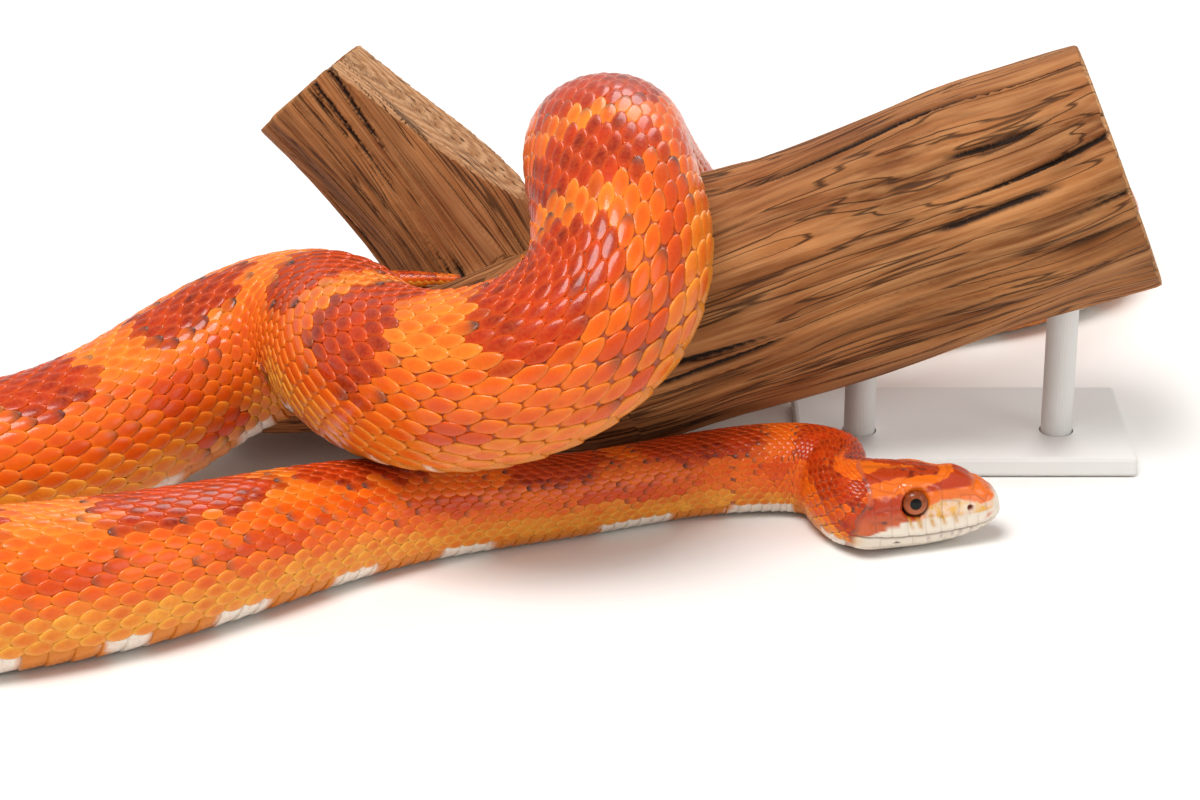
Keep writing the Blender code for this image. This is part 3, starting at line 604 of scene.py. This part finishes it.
# where the scales begin: share of the way round, distance behind the snout
SCALES_START = ((0, 25.6), (0.14, 25.2), (0.26, 24.4), (0.36, 24.6), (0.48, 26.6), (0.60, 27.2), (0.72, 27),
                (0.85, 17.5), (1, 16.5))
head_share = np.interp(np.abs(angle), half_angles, half_round)
scales_from = read_line(SCALES_START, head_share)
sunk = eased(d, scales_from - 0.4, scales_from + 1.6)
push = push * (1 - sunk) - scale_depth(d) * sunk
head_points = head_points + head_normals * push[..., None]
head_points[..., 2] = np.maximum(head_points[..., 2], 0.02)
head_faces = tube_faces(len(head_distances), HEAD_SIDES)

RED, ORANGE, DARK = (0.42, 0.034, 0.005), (0.78, 0.145, 0.007), (0.19, 0.016, 0.006)
YELLOW, WHITE, OCHRE = (0.74, 0.38, 0.035), (0.76, 0.68, 0.57), (0.55, 0.27, 0.03)
TEMPLE, BLUSH, NOSTRIL = (0.50, 0.085, 0.018), (0.60, 0.13, 0.05), (0.33, 0.07, 0.03)
SMUDGE, MOUTH_CREASE_SHADE, DARK_FLECKS_AND_SOCKET_SHADE = (0.36, 0.25, 0.27), (0.16, 0.08, 0.06), (0.035, 0.022, 0.022)
SEAM_RED, SEAM_PALE, UMBER = (0.52, 0.42, 0.50), (0.80, 0.66, 0.56), (0.30, 0.10, 0.03)
# the markings' outlines: distance behind the snout, then distance from the middle plane, or height
SPEAR_OUTER = ((8.7, 0), (8.9, 1.6), (10.3, 3), (12.4, 4.1), (15, 5.3), (18.5, 6.2), (22, 7), (25, 7.9),
               (28, 8.6))
SPEAR_INNER = ((11.1, 0), (11.3, 1.2), (12.6, 2.2), (15.5, 3.1), (18.5, 3.9), (21, 4.6), (23.5, 5.4),
               (26, 6.4), (29, 7.2))
FINGER = ((15.8, 0), (17.5, 0.45), (20, 0.7), (22, 1.1), (24, 2.6), (27, 3.3), (30.5, 3), (33, 1.2),
          (33.4, 0))
CREAM = ((0, 9.6), (1.5, 9), (4, 8.6), (8, 10), (11.5, 10.2), (13.5, 9.3), (16.4, 7.2), (19, 7), (21.5, 6.2),
         (24, 5.8), (26.5, 5), (28, 3.6))
LIPS = ((0, 8.8), (2, 7.2), (8, 6.7), (11.5, 6.9), (13.5, 7.3), (16.4, 7), (19, 6.8), (21.5, 6.1), (24, 5.6),
        (27, 4.9), (30, 4.2), (31.5, 3.2))
BARS = ((8.6, 0.36), (10.9, 0.42), (13, 0.50), (15.4, 0.50), (17, 0.34))
SPECKS = ((22.2, 7.4), (25, 10.4), (26.6, 9.9), (28.2, 9), (19.6, 2.9), (25.6, 12.9))
SMUDGES = ((5.6, 3.9), (7.6, 3.5), (9.2, 3.3), (11.3, 3.2), (13.8, 3))


def laid(over, coats):
    """Colours laid one after another, each where its mask says."""
    for colour, mask in coats:
        over = over * (1 - mask[..., None]) + np.array(colour) * mask[..., None]
    return over


ragged, ragged_fine = [np.array([noise.noise(Vector(point) * scale) for point in head_points.reshape(-1, 3)])
                       .reshape(d.shape) for scale in (0.9, 3.1)]
jagged = 0.5 * ragged + 0.25 * ragged_fine


def under(line, value, roughness, low, high):
    """1 where a value is under a bent line, else 0; the line's edge is ragged."""
    return eased(read_line(line, length_back) - value + roughness * jagged, low, high)


inside = under(SPEAR_INNER, lateral, 0.8, -0.18, 0.18) * eased(length_back, 11, 11.3)
yellow = under(CREAM, height, 0.5, -0.15, 0.25) * eased(length_back, 15.5, 14)
behind_eye = eased(length_back, 17.5, 19) * eased(height, 10.9, 10)
nasal_white = np.clip(spots([(6.6, 8.2)], 1.8, 1.1) * 1.1, 0, 1)
lips = under(LIPS, height, 0.18, -0.12, 0.16)
bars = np.max([hill(length_back, place + 0.35 * (height - 6), wide) for place, wide in BARS], axis=0)
bars *= eased(height - mouth_height, 0.9, 2.2) * eased(height, 8.2, 7.2) * on_side
blush = hill(length_back, 2.4, 0.7) * hill(height, 6.2 - 0.5 * (length_back - 2.4), 0.3)
head_colour = laid(np.array(RED), (
    (ORANGE, eased(5.4 - length_back + jagged, -0.8, 0.8)),
    (ORANGE, under(SPEAR_OUTER, lateral, 0.7, -0.2, 0.2) * eased(length_back, 8.5, 8.9)),
    (RED, inside), (DARK, inside * eased(ragged, 0, 0.5) * (length_back < 20)),
    (ORANGE, under(FINGER, lateral, 1.2, -0.15, 0.15) * eased(length_back, 15.8, 16.1)),
    (ORANGE, eased(height, 12.1, 11.6) * (length_back < 15.5)),
    (WHITE, yellow * 0.75), (YELLOW, yellow * np.clip(0.45 + 1.3 * ragged + 0.9 * ragged_fine, 0.1, 1)),
    (TEMPLE, behind_eye * eased(8.6 - height + jagged, -1.2, 1.2)),
    (WHITE, nasal_white * (0.75 + 0.5 * ragged_fine)), (WHITE, lips),
    (WHITE, eased(length_back, 2.2 + 0.8 * ragged, 0.9)),
    (OCHRE, np.clip(bars * (0.75 + 0.6 * ragged_fine), 0, 1)), (BLUSH, blush * 0.8),
    (NOSTRIL, eased(nostril_reach, 0.75, 0.35) * on_side),
    (YELLOW, hill(d, 28.5, 1.8) * hill(height, 4, 1.6) * (height < 7)),
    (DARK_FLECKS_AND_SOCKET_SHADE, np.clip(spots(SPECKS, 0.55, 0.22) * 1.3, 0, 1) * (lateral > 2.5)),
    (SMUDGE, spots(SMUDGES, 0.3, 0.5) * 0.7),
))
pale_share = np.maximum(lips, height < mouth_height)
seam_shade = laid(np.array(SEAM_RED), [(SEAM_PALE, pale_share)])
head_colour *= 1 - (1 - seam_shade) * 0.55 * groove[..., None]
# the dark line along the closed mouth is painted shade in the crease between the lips
head_colour = laid(head_colour, ((MOUTH_CREASE_SHADE, hill(lip, 0, 0.13) * mouth_share * 0.85),
                                 # the skin's lip inside the eye socket is painted dark: painted shade round
                                 # the eye
                                 (DARK_FLECKS_AND_SOCKET_SHADE, eased(eye_reach, 2.42, 2.25) * eye_side)))

head_marks, head_place = skin_colours(d, np.sign(angle) * head_share)
head_mask = eased(d, scales_from + 0.6, scales_from - 0.6)
skin = add_mesh("snake_skin", np.vstack([head_points.reshape(-1, 3), body_points.reshape(-1, 3)]),
                head_faces + [tuple(d.size + k for k in face) for face in body_faces])
add_attribute(skin, "marks", np.vstack([head_marks, body_marks]))
add_attribute(skin, "place", np.vstack([head_place, body_place]))
painted = np.column_stack([head_colour.reshape(-1, 3), head_mask.ravel()])
add_attribute(skin, "painted", np.vstack([painted, np.zeros((len(body_marks), 4))]))

skin_finish, shader, look = skin_material("soft_skin", 0.25, 1)
painted = attribute(shader, "painted")
on_crown = painted.outputs["Alpha"]
mottled = mixed(noise_value(places(shader), 1400, 4), painted.outputs["Color"], UMBER, 0.12)
joined(shader.inputs["Coat Weight"], maths("ADD", times(on_crown, 0.5), 0.25))
joined(shader.inputs["Base Color"], mixed(on_crown, look.outputs["Color"], mottled))
joined(shader.inputs["Roughness"], maths("SUBTRACT", look.outputs["Roughness"], times(on_crown, 0.26)))
skin.data.materials.append(skin_finish)
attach(skin, "root")
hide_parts(*[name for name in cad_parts
                    if not name.startswith(("eye_", "perch", "stand_"))])

# The eyes. Each is a clear, lidless ball set in the side of the head: a round black pupil, a brick-red
# iris that is paler below, and a dark outer ring, which is painted shade where the ball turns into its
# socket.
EYE_OUT = 5.75                           # of its centre, from the head's middle plane
EYE_RADII = (2.42, 1.55, 2.42)
IRIS, IRIS_BELOW, IRIS_STREAKS = (0.17, 0.030, 0.008), (0.46, 0.125, 0.045), (0.50, 0.13, 0.035)
IRIS_INNER, PUPIL, EYE_EDGE_SHADE = (0.26, 0.06, 0.014), (0.002, 0.002, 0.002), (0.035, 0.010, 0.008)


def points_of(piece):
    return np.array([vertex.co for vertex in piece.data.vertices])


def move_points(piece, points):
    """Puts a piece's points at places in millimetres."""
    piece.data.vertices.foreach_set("co", (points * MM).ravel())
    piece.data.update()


for label, side in (("left", 1), ("right", -1)):
    bpy.ops.mesh.primitive_uv_sphere_add(segments=64, ring_count=32, radius=1)
    eye = bpy.context.object
    eye.name = "eyeball_" + label
    ball = points_of(eye)
    along, across, above = (ball * EYE_RADII).T
    centre = snout + head_way * EYE_PLACE[0] + head_left * side * EYE_OUT
    points = centre + np.outer(along, head_way) + np.outer(across, head_left)
    points[:, 2] = EYE_PLACE[1] + above
    move_points(eye, points)
    bpy.ops.object.mode_set(mode="EDIT")
    bpy.ops.mesh.select_all(action="SELECT")
    bpy.ops.mesh.normals_make_consistent(inside=False)
    bpy.ops.object.mode_set(mode="OBJECT")
    bpy.ops.object.shade_smooth()
    add_attribute(eye, "gaze", np.column_stack([ball[:, 0], ball[:, 2], 0 * ball[:, 0], 0 * ball[:, 0] + 1]))
    material, shader = shaded_material("wet_eye_" + label, 0.35)
    shader.inputs["Coat Roughness"].default_value = 0.02
    shader.inputs["Specular IOR Level"].default_value = 0.1
    shader.inputs["Roughness"].default_value = 0.3
    across, above, _ = parts_of(attribute(shader, "gaze").outputs["Color"])
    above = maths("SUBTRACT", above, 0.20)
    reach = maths("SQRT", maths("ADD", times(across, across), times(above, above)))
    spokes = node_beside("ShaderNodeCombineXYZ", reach)
    joined(spokes.inputs[0], maths("ARCTAN2", above, across))
    joined(spokes.inputs[1], times(reach, 0.35))
    streaks = noise_value(spokes.outputs[0], 9, 4)
    iris = mixed(stretched(above, 0.25, -0.7), IRIS, IRIS_BELOW)
    iris = mixed(stretched(streaks, 0.4, 0.7), iris, IRIS_STREAKS, 0.35)
    iris = mixed(stretched(reach, 0.46, 0.52), IRIS_INNER, iris)
    iris = mixed(stretched(reach, 0.425, 0.45), PUPIL, iris)
    # the ball's outer edge is painted dark: painted shade where it turns into the socket
    iris = mixed(stretched(reach, 0.86, 0.97), iris, EYE_EDGE_SHADE)
    joined(shader.inputs["Base Color"], iris)
    eye.data.materials.append(material)
    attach(eye, "root")
    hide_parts("eye_" + label)

# The scales of the back and sides. One scale is modelled: a thin rounded lozenge with its root sunk in the
# skin, its middle raised and its rear edge free over the next. It is copied in staggered rows: 27 on the
# body, finer ones on the nape, and fewer on the tail.
bpy.ops.mesh.primitive_circle_add(vertices=14, radius=1, fill_type="NGON")
master = bpy.context.object
bpy.ops.object.mode_set(mode="EDIT")
bpy.ops.mesh.extrude_region_move(TRANSFORM_OT_translate={"value": (0, 0, 0.55)})
bpy.ops.mesh.inset(thickness=0.16)
bpy.ops.transform.translate(value=(0, 0, 0.17))
bpy.ops.mesh.inset(thickness=0.36)
bpy.ops.transform.translate(value=(0, 0, 0.20))
bpy.ops.mesh.poke()
bpy.ops.mesh.select_all(action="SELECT")
bpy.ops.mesh.normals_make_consistent(inside=False)
bpy.ops.object.mode_set(mode="OBJECT")
master_points = points_of(master)
master_faces = [tuple(polygon.vertices) for polygon in master.data.polygons]
bpy.data.objects.remove(master)
MASTER_SHOULDER, MASTER_TOP = 0.55, 0.92
SCALE_PITCH, PITCH_HALF_WIDTH, PITCH_POWER = 4.6, 15, 0.85
SHORTEST_PITCH = 1.4
NAPE_PITCH, NAPE_FINE = 0.54, (38, 58)   # share of the usual pitch, and where it passes into the whole
OUTLINE_POWER = 1.15                     # above 1 turns the round outline towards a lozenge
ROW_COUNTS = ((42, 31), (56, 29), (800, 27), (930, 23), (985, 19), (1020, 15), (1055, 11), (1090, 9),
              (BODY_LENGTH + 1, 7))


def pitch_at(distance):
    """Length of one scale along the middle of the body; short on the bent nape, to close its outer side."""
    pitch = SCALE_PITCH * (half_width(distance) / PITCH_HALF_WIDTH) ** PITCH_POWER
    return max(pitch * (NAPE_PITCH + (1 - NAPE_PITCH) * eased(distance, *NAPE_FINE)), SHORTEST_PITCH)


def lay_scales(cells):
    """Points of copies of the master scale at cells of distance, share, half length and half width."""
    x, y = rounded(master_points[:, :2], OUTLINE_POWER).T
    z = master_points[:, 2]
    d = cells[:, 0:1] + cells[:, 2:3] * x
    angle = angle_of(np.clip(cells[:, 1:2] + cells[:, 3:4] * y * (1 - 0.06 * x), -1, 1))
    tilt = 0.30 + 0.70 * (x + 1) / 2
    level = np.where(z <= 0.01, -1.35, -1 + z / MASTER_TOP * tilt)
    return raised(d, angle, level * scale_depth(cells[:, 0:1]), 0.01)


HALF_LENGTH, HALF_WIDTH = 0.585, 0.68    # of a scale, in pitches and in gaps between rows; over 0.5 overlaps
SIZE_SPREAD, PLACE_SPREAD = 0.03, 0.04
FIRST_SCALE = 17
cells = []
distance = FIRST_SCALE
while distance < BODY_LENGTH - 1.5:
    pitch = pitch_at(distance)
    rows = next(count for end, count in ROW_COUNTS if distance < end)
    for row in range(-(rows // 2), rows // 2 + 1):
        t = row / (rows / 2)
        share = BELLY_EDGE * (0.93 * t + 0.07 * t ** 3)
        here = distance + (0.5 * pitch if row % 2 else 0)
        gap = BELLY_EDGE * (0.93 + 0.21 * t * t) / (rows / 2)
        if here < read_line(SCALES_START, abs(share)) or here > BODY_LENGTH - 1:
            continue
        size = 1 + SIZE_SPREAD * rng.standard_normal()
        moved = share + PLACE_SPREAD * gap * rng.standard_normal()
        cells.append((here, moved, HALF_LENGTH * pitch * size, HALF_WIDTH * gap * size, rng.random()))
    distance += pitch
cells = np.array(cells)
# on the outside of a bend the scales part instead of stretching, and the skin shows between them
ahead, behind = [form(cells[:, 0] + step, angle_of(cells[:, 1])) for step in (0.5, -0.5)]
most_stretch = np.where(cells[:, 0] < 55, 1.6, 1.32)
cells[:, 2] *= np.minimum(1, most_stretch / np.linalg.norm(ahead - behind, axis=1))

SCALE_PIECES = (("scales_neck", FIRST_SCALE, 130), ("scales_front", 130, 235), ("scales_turn", 235, 385),
                ("scales_rise", 385, 530), ("scales_loop", 530, 660), ("scales_hind", 660, 830),
                ("scales_back", 830, 960), ("scales_tail", 960, BODY_LENGTH))
STRIPS = 8                               # bands of the skin's unwrap, one above another
PATCH = 0.003                            # of one scale on the unwrap


def unwrap_places(distance, share, start, end):
    """Where places on the skin fall on its own unwrap, cut into bands."""
    along = (distance - start) / (end - start) * STRIPS
    band = np.minimum(np.floor(along), STRIPS - 1)
    return 0.01 + 0.98 * (along - band), (band + 0.03 + 0.94 * (share + 1) / 2) / STRIPS


def add_bake_map(piece, patch_u, patch_v):
    """A UV map with each corner at its own point's place."""
    layer = piece.data.uv_layers.new(name="OFBake")
    corners = np.zeros(len(piece.data.loops), np.int32)
    piece.data.loops.foreach_get("vertex_index", corners)
    patch = np.column_stack([patch_u.ravel()[corners], patch_v.ravel()[corners]])
    layer.data.foreach_set("uv", patch.astype(np.float32).ravel())


def copied_faces(faces, points_each, copies):
    return [tuple(k * points_each + v for v in face) for k in range(copies) for face in faces]


rim = np.clip(1 - (master_points[:, 2] - MASTER_SHOULDER) / (MASTER_TOP - MASTER_SHOULDER), 0, 1) ** 1.4
tip = eased(master_points[:, 0], 0.15, 0.85)
count = len(master_points)
for name, start, end in SCALE_PIECES:
    chosen = cells[(cells[:, 0] >= start) & (cells[:, 0] < end)]
    piece = add_mesh(name, lay_scales(chosen), copied_faces(master_faces, count, len(chosen)))
    marks, place = skin_colours(chosen[:, 0], chosen[:, 1], 1.1, 0.9 * (chosen[:, 4] - 0.5))
    side, _, _, edge = np.repeat(place, count, axis=0).T
    rims, tips = np.tile((rim, tip), len(chosen))
    add_attribute(piece, "marks", np.repeat(marks, count, axis=0))
    add_attribute(piece, "place", np.column_stack([side, rims, np.repeat(chosen[:, 4], count), edge * tips]))
    u, v = np.stack(unwrap_places(chosen[:, 0], chosen[:, 1], start, end))[..., None]
    add_bake_map(piece, u + master_points[:, 0] * PATCH / 2, v + master_points[:, 1] * PATCH / 2)
    piece.data.materials.append(scale_finish)
    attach(piece, "root")

# The belly plates. One wide plate crosses the belly for each row of back scales, its rear edge free,
# as far as the vent; behind it the plates under the tail are paired.
PLATE_COLUMNS = 20
PLATE_ROWS = np.array((  # place along the plate, level, how pale its rim is
    (-0.62, -1.4, 0), (-0.60, -0.75, 0), (-0.1, -0.35, 0), (0.35, -0.12, 0.3), (0.55, -0.08, 0.8),
    (0.60, -0.45, 1), (0.60, -1.4, 1)))
FIRST_PLATE, VENT = 29.0, 965
LEFT_EDGE, RIGHT_EDGE = BELLY_EDGE - 0.02, 2 - BELLY_EDGE + 0.02
plates = []
distance = FIRST_PLATE
while distance < BODY_LENGTH - 2.5:
    pitch = pitch_at(distance)
    if distance < VENT:
        plates.append((distance, pitch, LEFT_EDGE, RIGHT_EDGE, rng.random()))
    else:
        plates.append((distance, pitch, LEFT_EDGE, 0.995, rng.random()))
        plates.append((distance + 0.3 * pitch, pitch, 1.005, RIGHT_EDGE, rng.random()))
    distance += pitch
plates = np.array(plates)
columns = np.linspace(0, 1, PLATE_COLUMNS)
start, pitch, left, right = plates[:, :4].T[..., None, None]
along, level, rim = PLATE_ROWS.T[..., None]
d = start + pitch * along + 0.10 * pitch * (1 - (2 * columns - 1) ** 2)
q = left + (right - left) * columns + 0 * d
q = np.where(q > 1, q - 2, q)
level = level - 1.2 * np.isin(columns, (0, 1))
angle = angle_of(q)
count = len(PLATE_ROWS) * PLATE_COLUMNS
belly = add_mesh("belly_plates", raised(d, angle, level * scale_depth(d), 0.005),
                 copied_faces(grid_faces(len(PLATE_ROWS), PLATE_COLUMNS, False), count, len(plates)))
marks = skin_colours(d, q)[0]
marks[:, 2] = 1
marks[:, 3] *= 1 - 0.85 * eased(np.abs(q), 0.80, 0.88).ravel()
add_attribute(belly, "marks", marks)
add_attribute(belly, "place", np.column_stack([np.ones(d.size), (rim + 0 * d).ravel(),
                                               np.repeat(plates[:, 4], count), np.zeros(d.size)]))
u, v = unwrap_places(start, 0, FIRST_PLATE, BODY_LENGTH)
add_bake_map(belly, u + PATCH * along + 0 * columns, v + (columns - 0.5) * 0.09 + 0 * along)
belly.data.materials.append(scale_finish)
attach(belly, "root")

# The driftwood. A weathered fork, bleached brown, cut off clean at its ends, with long drying cracks
# along the grain. It is made from its solid, refined, and grooved along the run of each branch.
BRANCHES = (  # half width, then the middle line
    (22.5, ((-16, 57, 19.5), (2, 54.5, 26), (36, 55.5, 38), (68, 56, 50), (96, 56, 60.5))),
    (16, ((-74, 68, 7.5), (-46, 66.5, 14.5), (-14, 63, 20), (2, 58, 25))),
    (15, ((-12, 84, 8), (-54, 107, 62))),
)
RIGHT_CUT, LIMB_CUT = (0.92, 0, 0.39), (0.55, 0, 0.83)   # the ways that the sawn ends face
CRACK_DEPTH, HAIR_DEPTH, CHECK_DEPTH, SWELL = 1.2, 0.35, 0.7, 0.5
VOXEL = 0.00068
GRAIN_RADIUS = 20                        # the grain's pattern is read on a cylinder, so that it has no seam
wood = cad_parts["perch"].copy()
wood.data = wood.data.copy()
wood.name = "driftwood"
for key in list(wood.keys()):
    del wood[key]
wood.parent = None
bpy.context.scene.collection.objects.link(wood)
bpy.ops.object.select_all(action="DESELECT")
wood.select_set(True)
bpy.context.view_layer.objects.active = wood
bpy.ops.object.mode_set(mode="EDIT")
bpy.ops.mesh.select_all(action="SELECT")
bpy.ops.mesh.remove_doubles(threshold=0.00001)
bpy.ops.object.mode_set(mode="OBJECT")
remesh = wood.modifiers.new("even_mesh", "REMESH")
remesh.mode = "VOXEL"
remesh.voxel_size = VOXEL
soften = wood.modifiers.new("soften", "SMOOTH")
soften.factor = 0.5
soften.iterations = 5
for modifier in ("even_mesh", "soften"):
    bpy.ops.object.modifier_apply(modifier=modifier)
points = points_of(wood) / MM
normals = np.array([vertex.normal for vertex in wood.data.vertices])
nearest = np.full(len(points), 1e9)
reach, along, turn = np.zeros((3, len(points)))
for number, (branch_width, stations) in enumerate(BRANCHES):
    line = np.array(stations) - STAND_CENTRE
    run = 400 * number                   # keeps the grain of one branch apart from the next
    for a, b in zip(line, line[1:]):
        length = np.linalg.norm(b - a)
        way = (b - a) / length
        on_way = (points - a) @ way
        off = points - a - np.outer(np.clip(on_way, 0, length), way)
        out = np.linalg.norm(off, axis=1)
        across = unit(np.cross(way, UP))
        nearer = out / branch_width < nearest
        nearest[nearer] = out[nearer] / branch_width
        reach[nearer] = out[nearer]
        along[nearer] = run + on_way[nearer]
        turn[nearer] = np.arctan2(off @ across, off @ np.cross(across, way))[nearer]
        run += length


def grain_noise(grain, along, around, shift=0):
    """A smooth random number at each place, drawn out along the grain."""
    return np.array([noise.noise((g[0] * along + shift, g[1] * around, g[2] * around)) for g in grain])


grain = np.column_stack([along, np.cos(turn) * GRAIN_RADIUS, np.sin(turn) * GRAIN_RADIUS])
grain[:, 1:] += 3 * grain_noise(grain, 0.02, 0.05)[:, None]
beside = grain + np.column_stack([0 * turn, -grain[:, 2], grain[:, 1]]) / (2 * GRAIN_RADIUS)
crack, crack_beside = [grain_noise(places_on, 0.0065, 0.16) for places_on in (grain, beside)]
slope = 2 * np.abs(crack_beside - crack)
crack = crack / (slope + 0.02)           # about the way off in millimetres
here = points + STAND_CENTRE
ends = (normals @ unit(np.array(RIGHT_CUT)) > 0.93) & (here[:, 0] > 88)
ends |= (normals @ unit(np.array(LIMB_CUT)) > 0.96) & (here[:, 0] < -15) & (here[:, 2] > 38)
end_check = np.array([noise.noise((4.4 * angle, 0.01 * out, 5)) for angle, out in zip(turn, reach)])
crack_depth = CRACK_DEPTH * hill(crack, 0, 0.55) * eased(slope, 0.04, 0.10)
crack_depth *= eased(grain_noise(grain, 0.022, 0.06, 20), -0.25, 0.10)
crack_depth += HAIR_DEPTH * hill(grain_noise(grain, 0.011, 0.34, 9), 0, 0.13)
crack_depth = np.where(ends, CHECK_DEPTH * hill(end_check, 0, 0.05) * eased(reach, 2, 6), crack_depth)
swell = SWELL * (grain_noise(grain, 0.025, 0.09, 4) + 0.5) * ~ends
move_points(wood, points - normals * (crack_depth + swell)[:, None])
wood.data.shade_smooth()
# the grain attribute's fourth part is the crack depth, which darkens the cracks as painted shade
add_attribute(wood, "grain", np.column_stack([grain / 100, np.clip(crack_depth, 0, 1)]))
add_attribute(wood, "cut_ring", np.where(ends, reach / 100, 0))

WOOD_DARK, WOOD_PALE = (0.17, 0.055, 0.014), (0.40, 0.155, 0.048)
WOOD_FIBRES, WOOD_STAIN = (0.52, 0.26, 0.105), (0.20, 0.052, 0.014)
END_DARK, END_PALE = (0.34, 0.155, 0.060), (0.50, 0.27, 0.13)
# painted shade inside the fine cracks and inside the long cracks
HAIR_CRACK_SHADE, CRACK_SHADE = (0.035, 0.012, 0.004), (0.018, 0.007, 0.003)
material, shader = shaded_material("driftwood_grain", 0)
grain_node = attribute(shader, "grain")
stretches = []
for drawn, around, detail in ((1.4, 36, 2), (5, 110, 5), (3.5, 22, 4)):
    mapping = node_beside("ShaderNodeMapping", grain_node.outputs["Vector"])
    mapping.inputs["Scale"].default_value = (drawn, around, around)
    joined(mapping.inputs["Vector"], grain_node.outputs["Vector"])
    stretches.append(noise_value(mapping.outputs["Vector"], 1, detail))
hair_cracks, fine_fibres, long_fibres = stretches
stains = noise_value(places(shader), 26, 4)
hair = stretched(maths("ABSOLUTE", maths("SUBTRACT", hair_cracks, 0.5)), 0.022, 0.004)
wood_colour = mixed(stretched(long_fibres, 0.36, 0.66), WOOD_DARK, WOOD_PALE)
wood_colour = mixed(stretched(fine_fibres, 0.40, 0.66), wood_colour, WOOD_FIBRES, 0.5)
wood_colour = mixed(stretched(stains, 0.44, 0.66), wood_colour, WOOD_STAIN, 0.5)
ring_reach = attribute(shader, "cut_ring").outputs["Fac"]
rings = maths("SINE", maths("ADD", times(ring_reach, 440), times(stains, 9)))
end_colour = mixed(stretched(rings, -1, 1), END_DARK, END_PALE)
wood_colour = mixed(stretched(ring_reach, 0, 0.004), wood_colour, end_colour)
# the cracks are painted dark: painted shade inside the fine cracks, and inside the long ones darker where
# deeper
wood_colour = mixed(hair, wood_colour, HAIR_CRACK_SHADE, 0.8)
wood_colour = mixed(stretched(grain_node.outputs["Alpha"], 0.20, 0.80), wood_colour, CRACK_SHADE)
feed(shader, wood_colour, maths("ADD", times(fine_fibres, 0.25), 0.55),
     maths("SUBTRACT", maths("ADD", long_fibres, fine_fibres), hair), 0.6, 0.0006)
wood.data.materials.clear()
wood.data.materials.append(material)
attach(wood, "root")
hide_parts("perch")

# The display stand. A small steel base and two turned rods, sprayed matt white, which carry the wood.
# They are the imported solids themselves, and each only gets its coat of paint.
PAINT, PAINT_SHADE = (0.74, 0.73, 0.71), (0.66, 0.65, 0.62)
for name in ("stand_base", "stand_rod_1", "stand_rod_2"):
    material, shader = shaded_material("white_paint_" + name, 0)
    where = places(shader)
    speckle = noise_value(where, 900, 3)
    cloud = stretched(noise_value(where, 30, 2), 0.4, 0.7)
    feed(shader, mixed(cloud, PAINT, PAINT_SHADE, 0.5),
         maths("ADD", times(speckle, 0.3), 0.38), speckle, 0.15, 0.0002)
    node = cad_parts[name]
    node.data.materials.clear()
    node.data.materials.append(material)

# The studio. A white sweep of floor, a broad soft light above and to the left, and a weaker fill.
bpy.ops.mesh.primitive_plane_add(size=6, location=(0, 0, -0.0002))
floor = bpy.context.object
floor.name = "studio_floor"
material, shader = shaded_material("pale_floor", 0)
shader.inputs["Base Color"].default_value = (0.86, 0.845, 0.82, 1)
shader.inputs["Roughness"].default_value = 0.55
floor.data.materials.append(material)

CAMERA_TARGET, CAMERA_AWAY = Vector((-0.070, -0.064, 0.037)), 0.575
CAMERA_ELEVATION = math.radians(24)
camera_data = bpy.data.cameras.new("photo_camera")
camera_data.lens = 100
camera_data.sensor_width = 36
camera = bpy.data.objects.new("photo_camera", camera_data)
sight = Vector((0, math.cos(CAMERA_ELEVATION), -math.sin(CAMERA_ELEVATION)))
camera.location = CAMERA_TARGET - sight * CAMERA_AWAY
camera.rotation_euler = (math.radians(90) - CAMERA_ELEVATION, 0, 0)
bpy.context.scene.collection.objects.link(camera)
bpy.context.scene.camera = camera

LIGHT_TARGET = Vector((-0.05, -0.04, 0.02))
LIGHTS = (  # name, place, size, power
    ("key_light", (-0.25, -0.35, 0.85), 0.42, 8),
    ("fill_light", (0.75, -0.55, 0.45), 0.5, 1.7),
    ("back_light", (0.15, 0.75, 0.70), 0.5, 3.6),
)
for name, place, size, power in LIGHTS:
    light = bpy.data.lights.new(name, "AREA")
    light.energy = power
    light.size = size
    lamp = bpy.data.objects.new(name, light)
    lamp.location = place
    lamp.rotation_euler = (LIGHT_TARGET - Vector(place)).to_track_quat("-Z", "Y").to_euler()
    bpy.context.scene.collection.objects.link(lamp)
world = bpy.data.worlds.new("pale_room")
world.use_nodes = True
world.node_tree.nodes["Background"].inputs["Color"].default_value = (1, 0.98, 0.95, 1)
world.node_tree.nodes["Background"].inputs["Strength"].default_value = 0.5
bpy.context.scene.world = world
bpy.context.scene.view_settings.view_transform = "Standard"
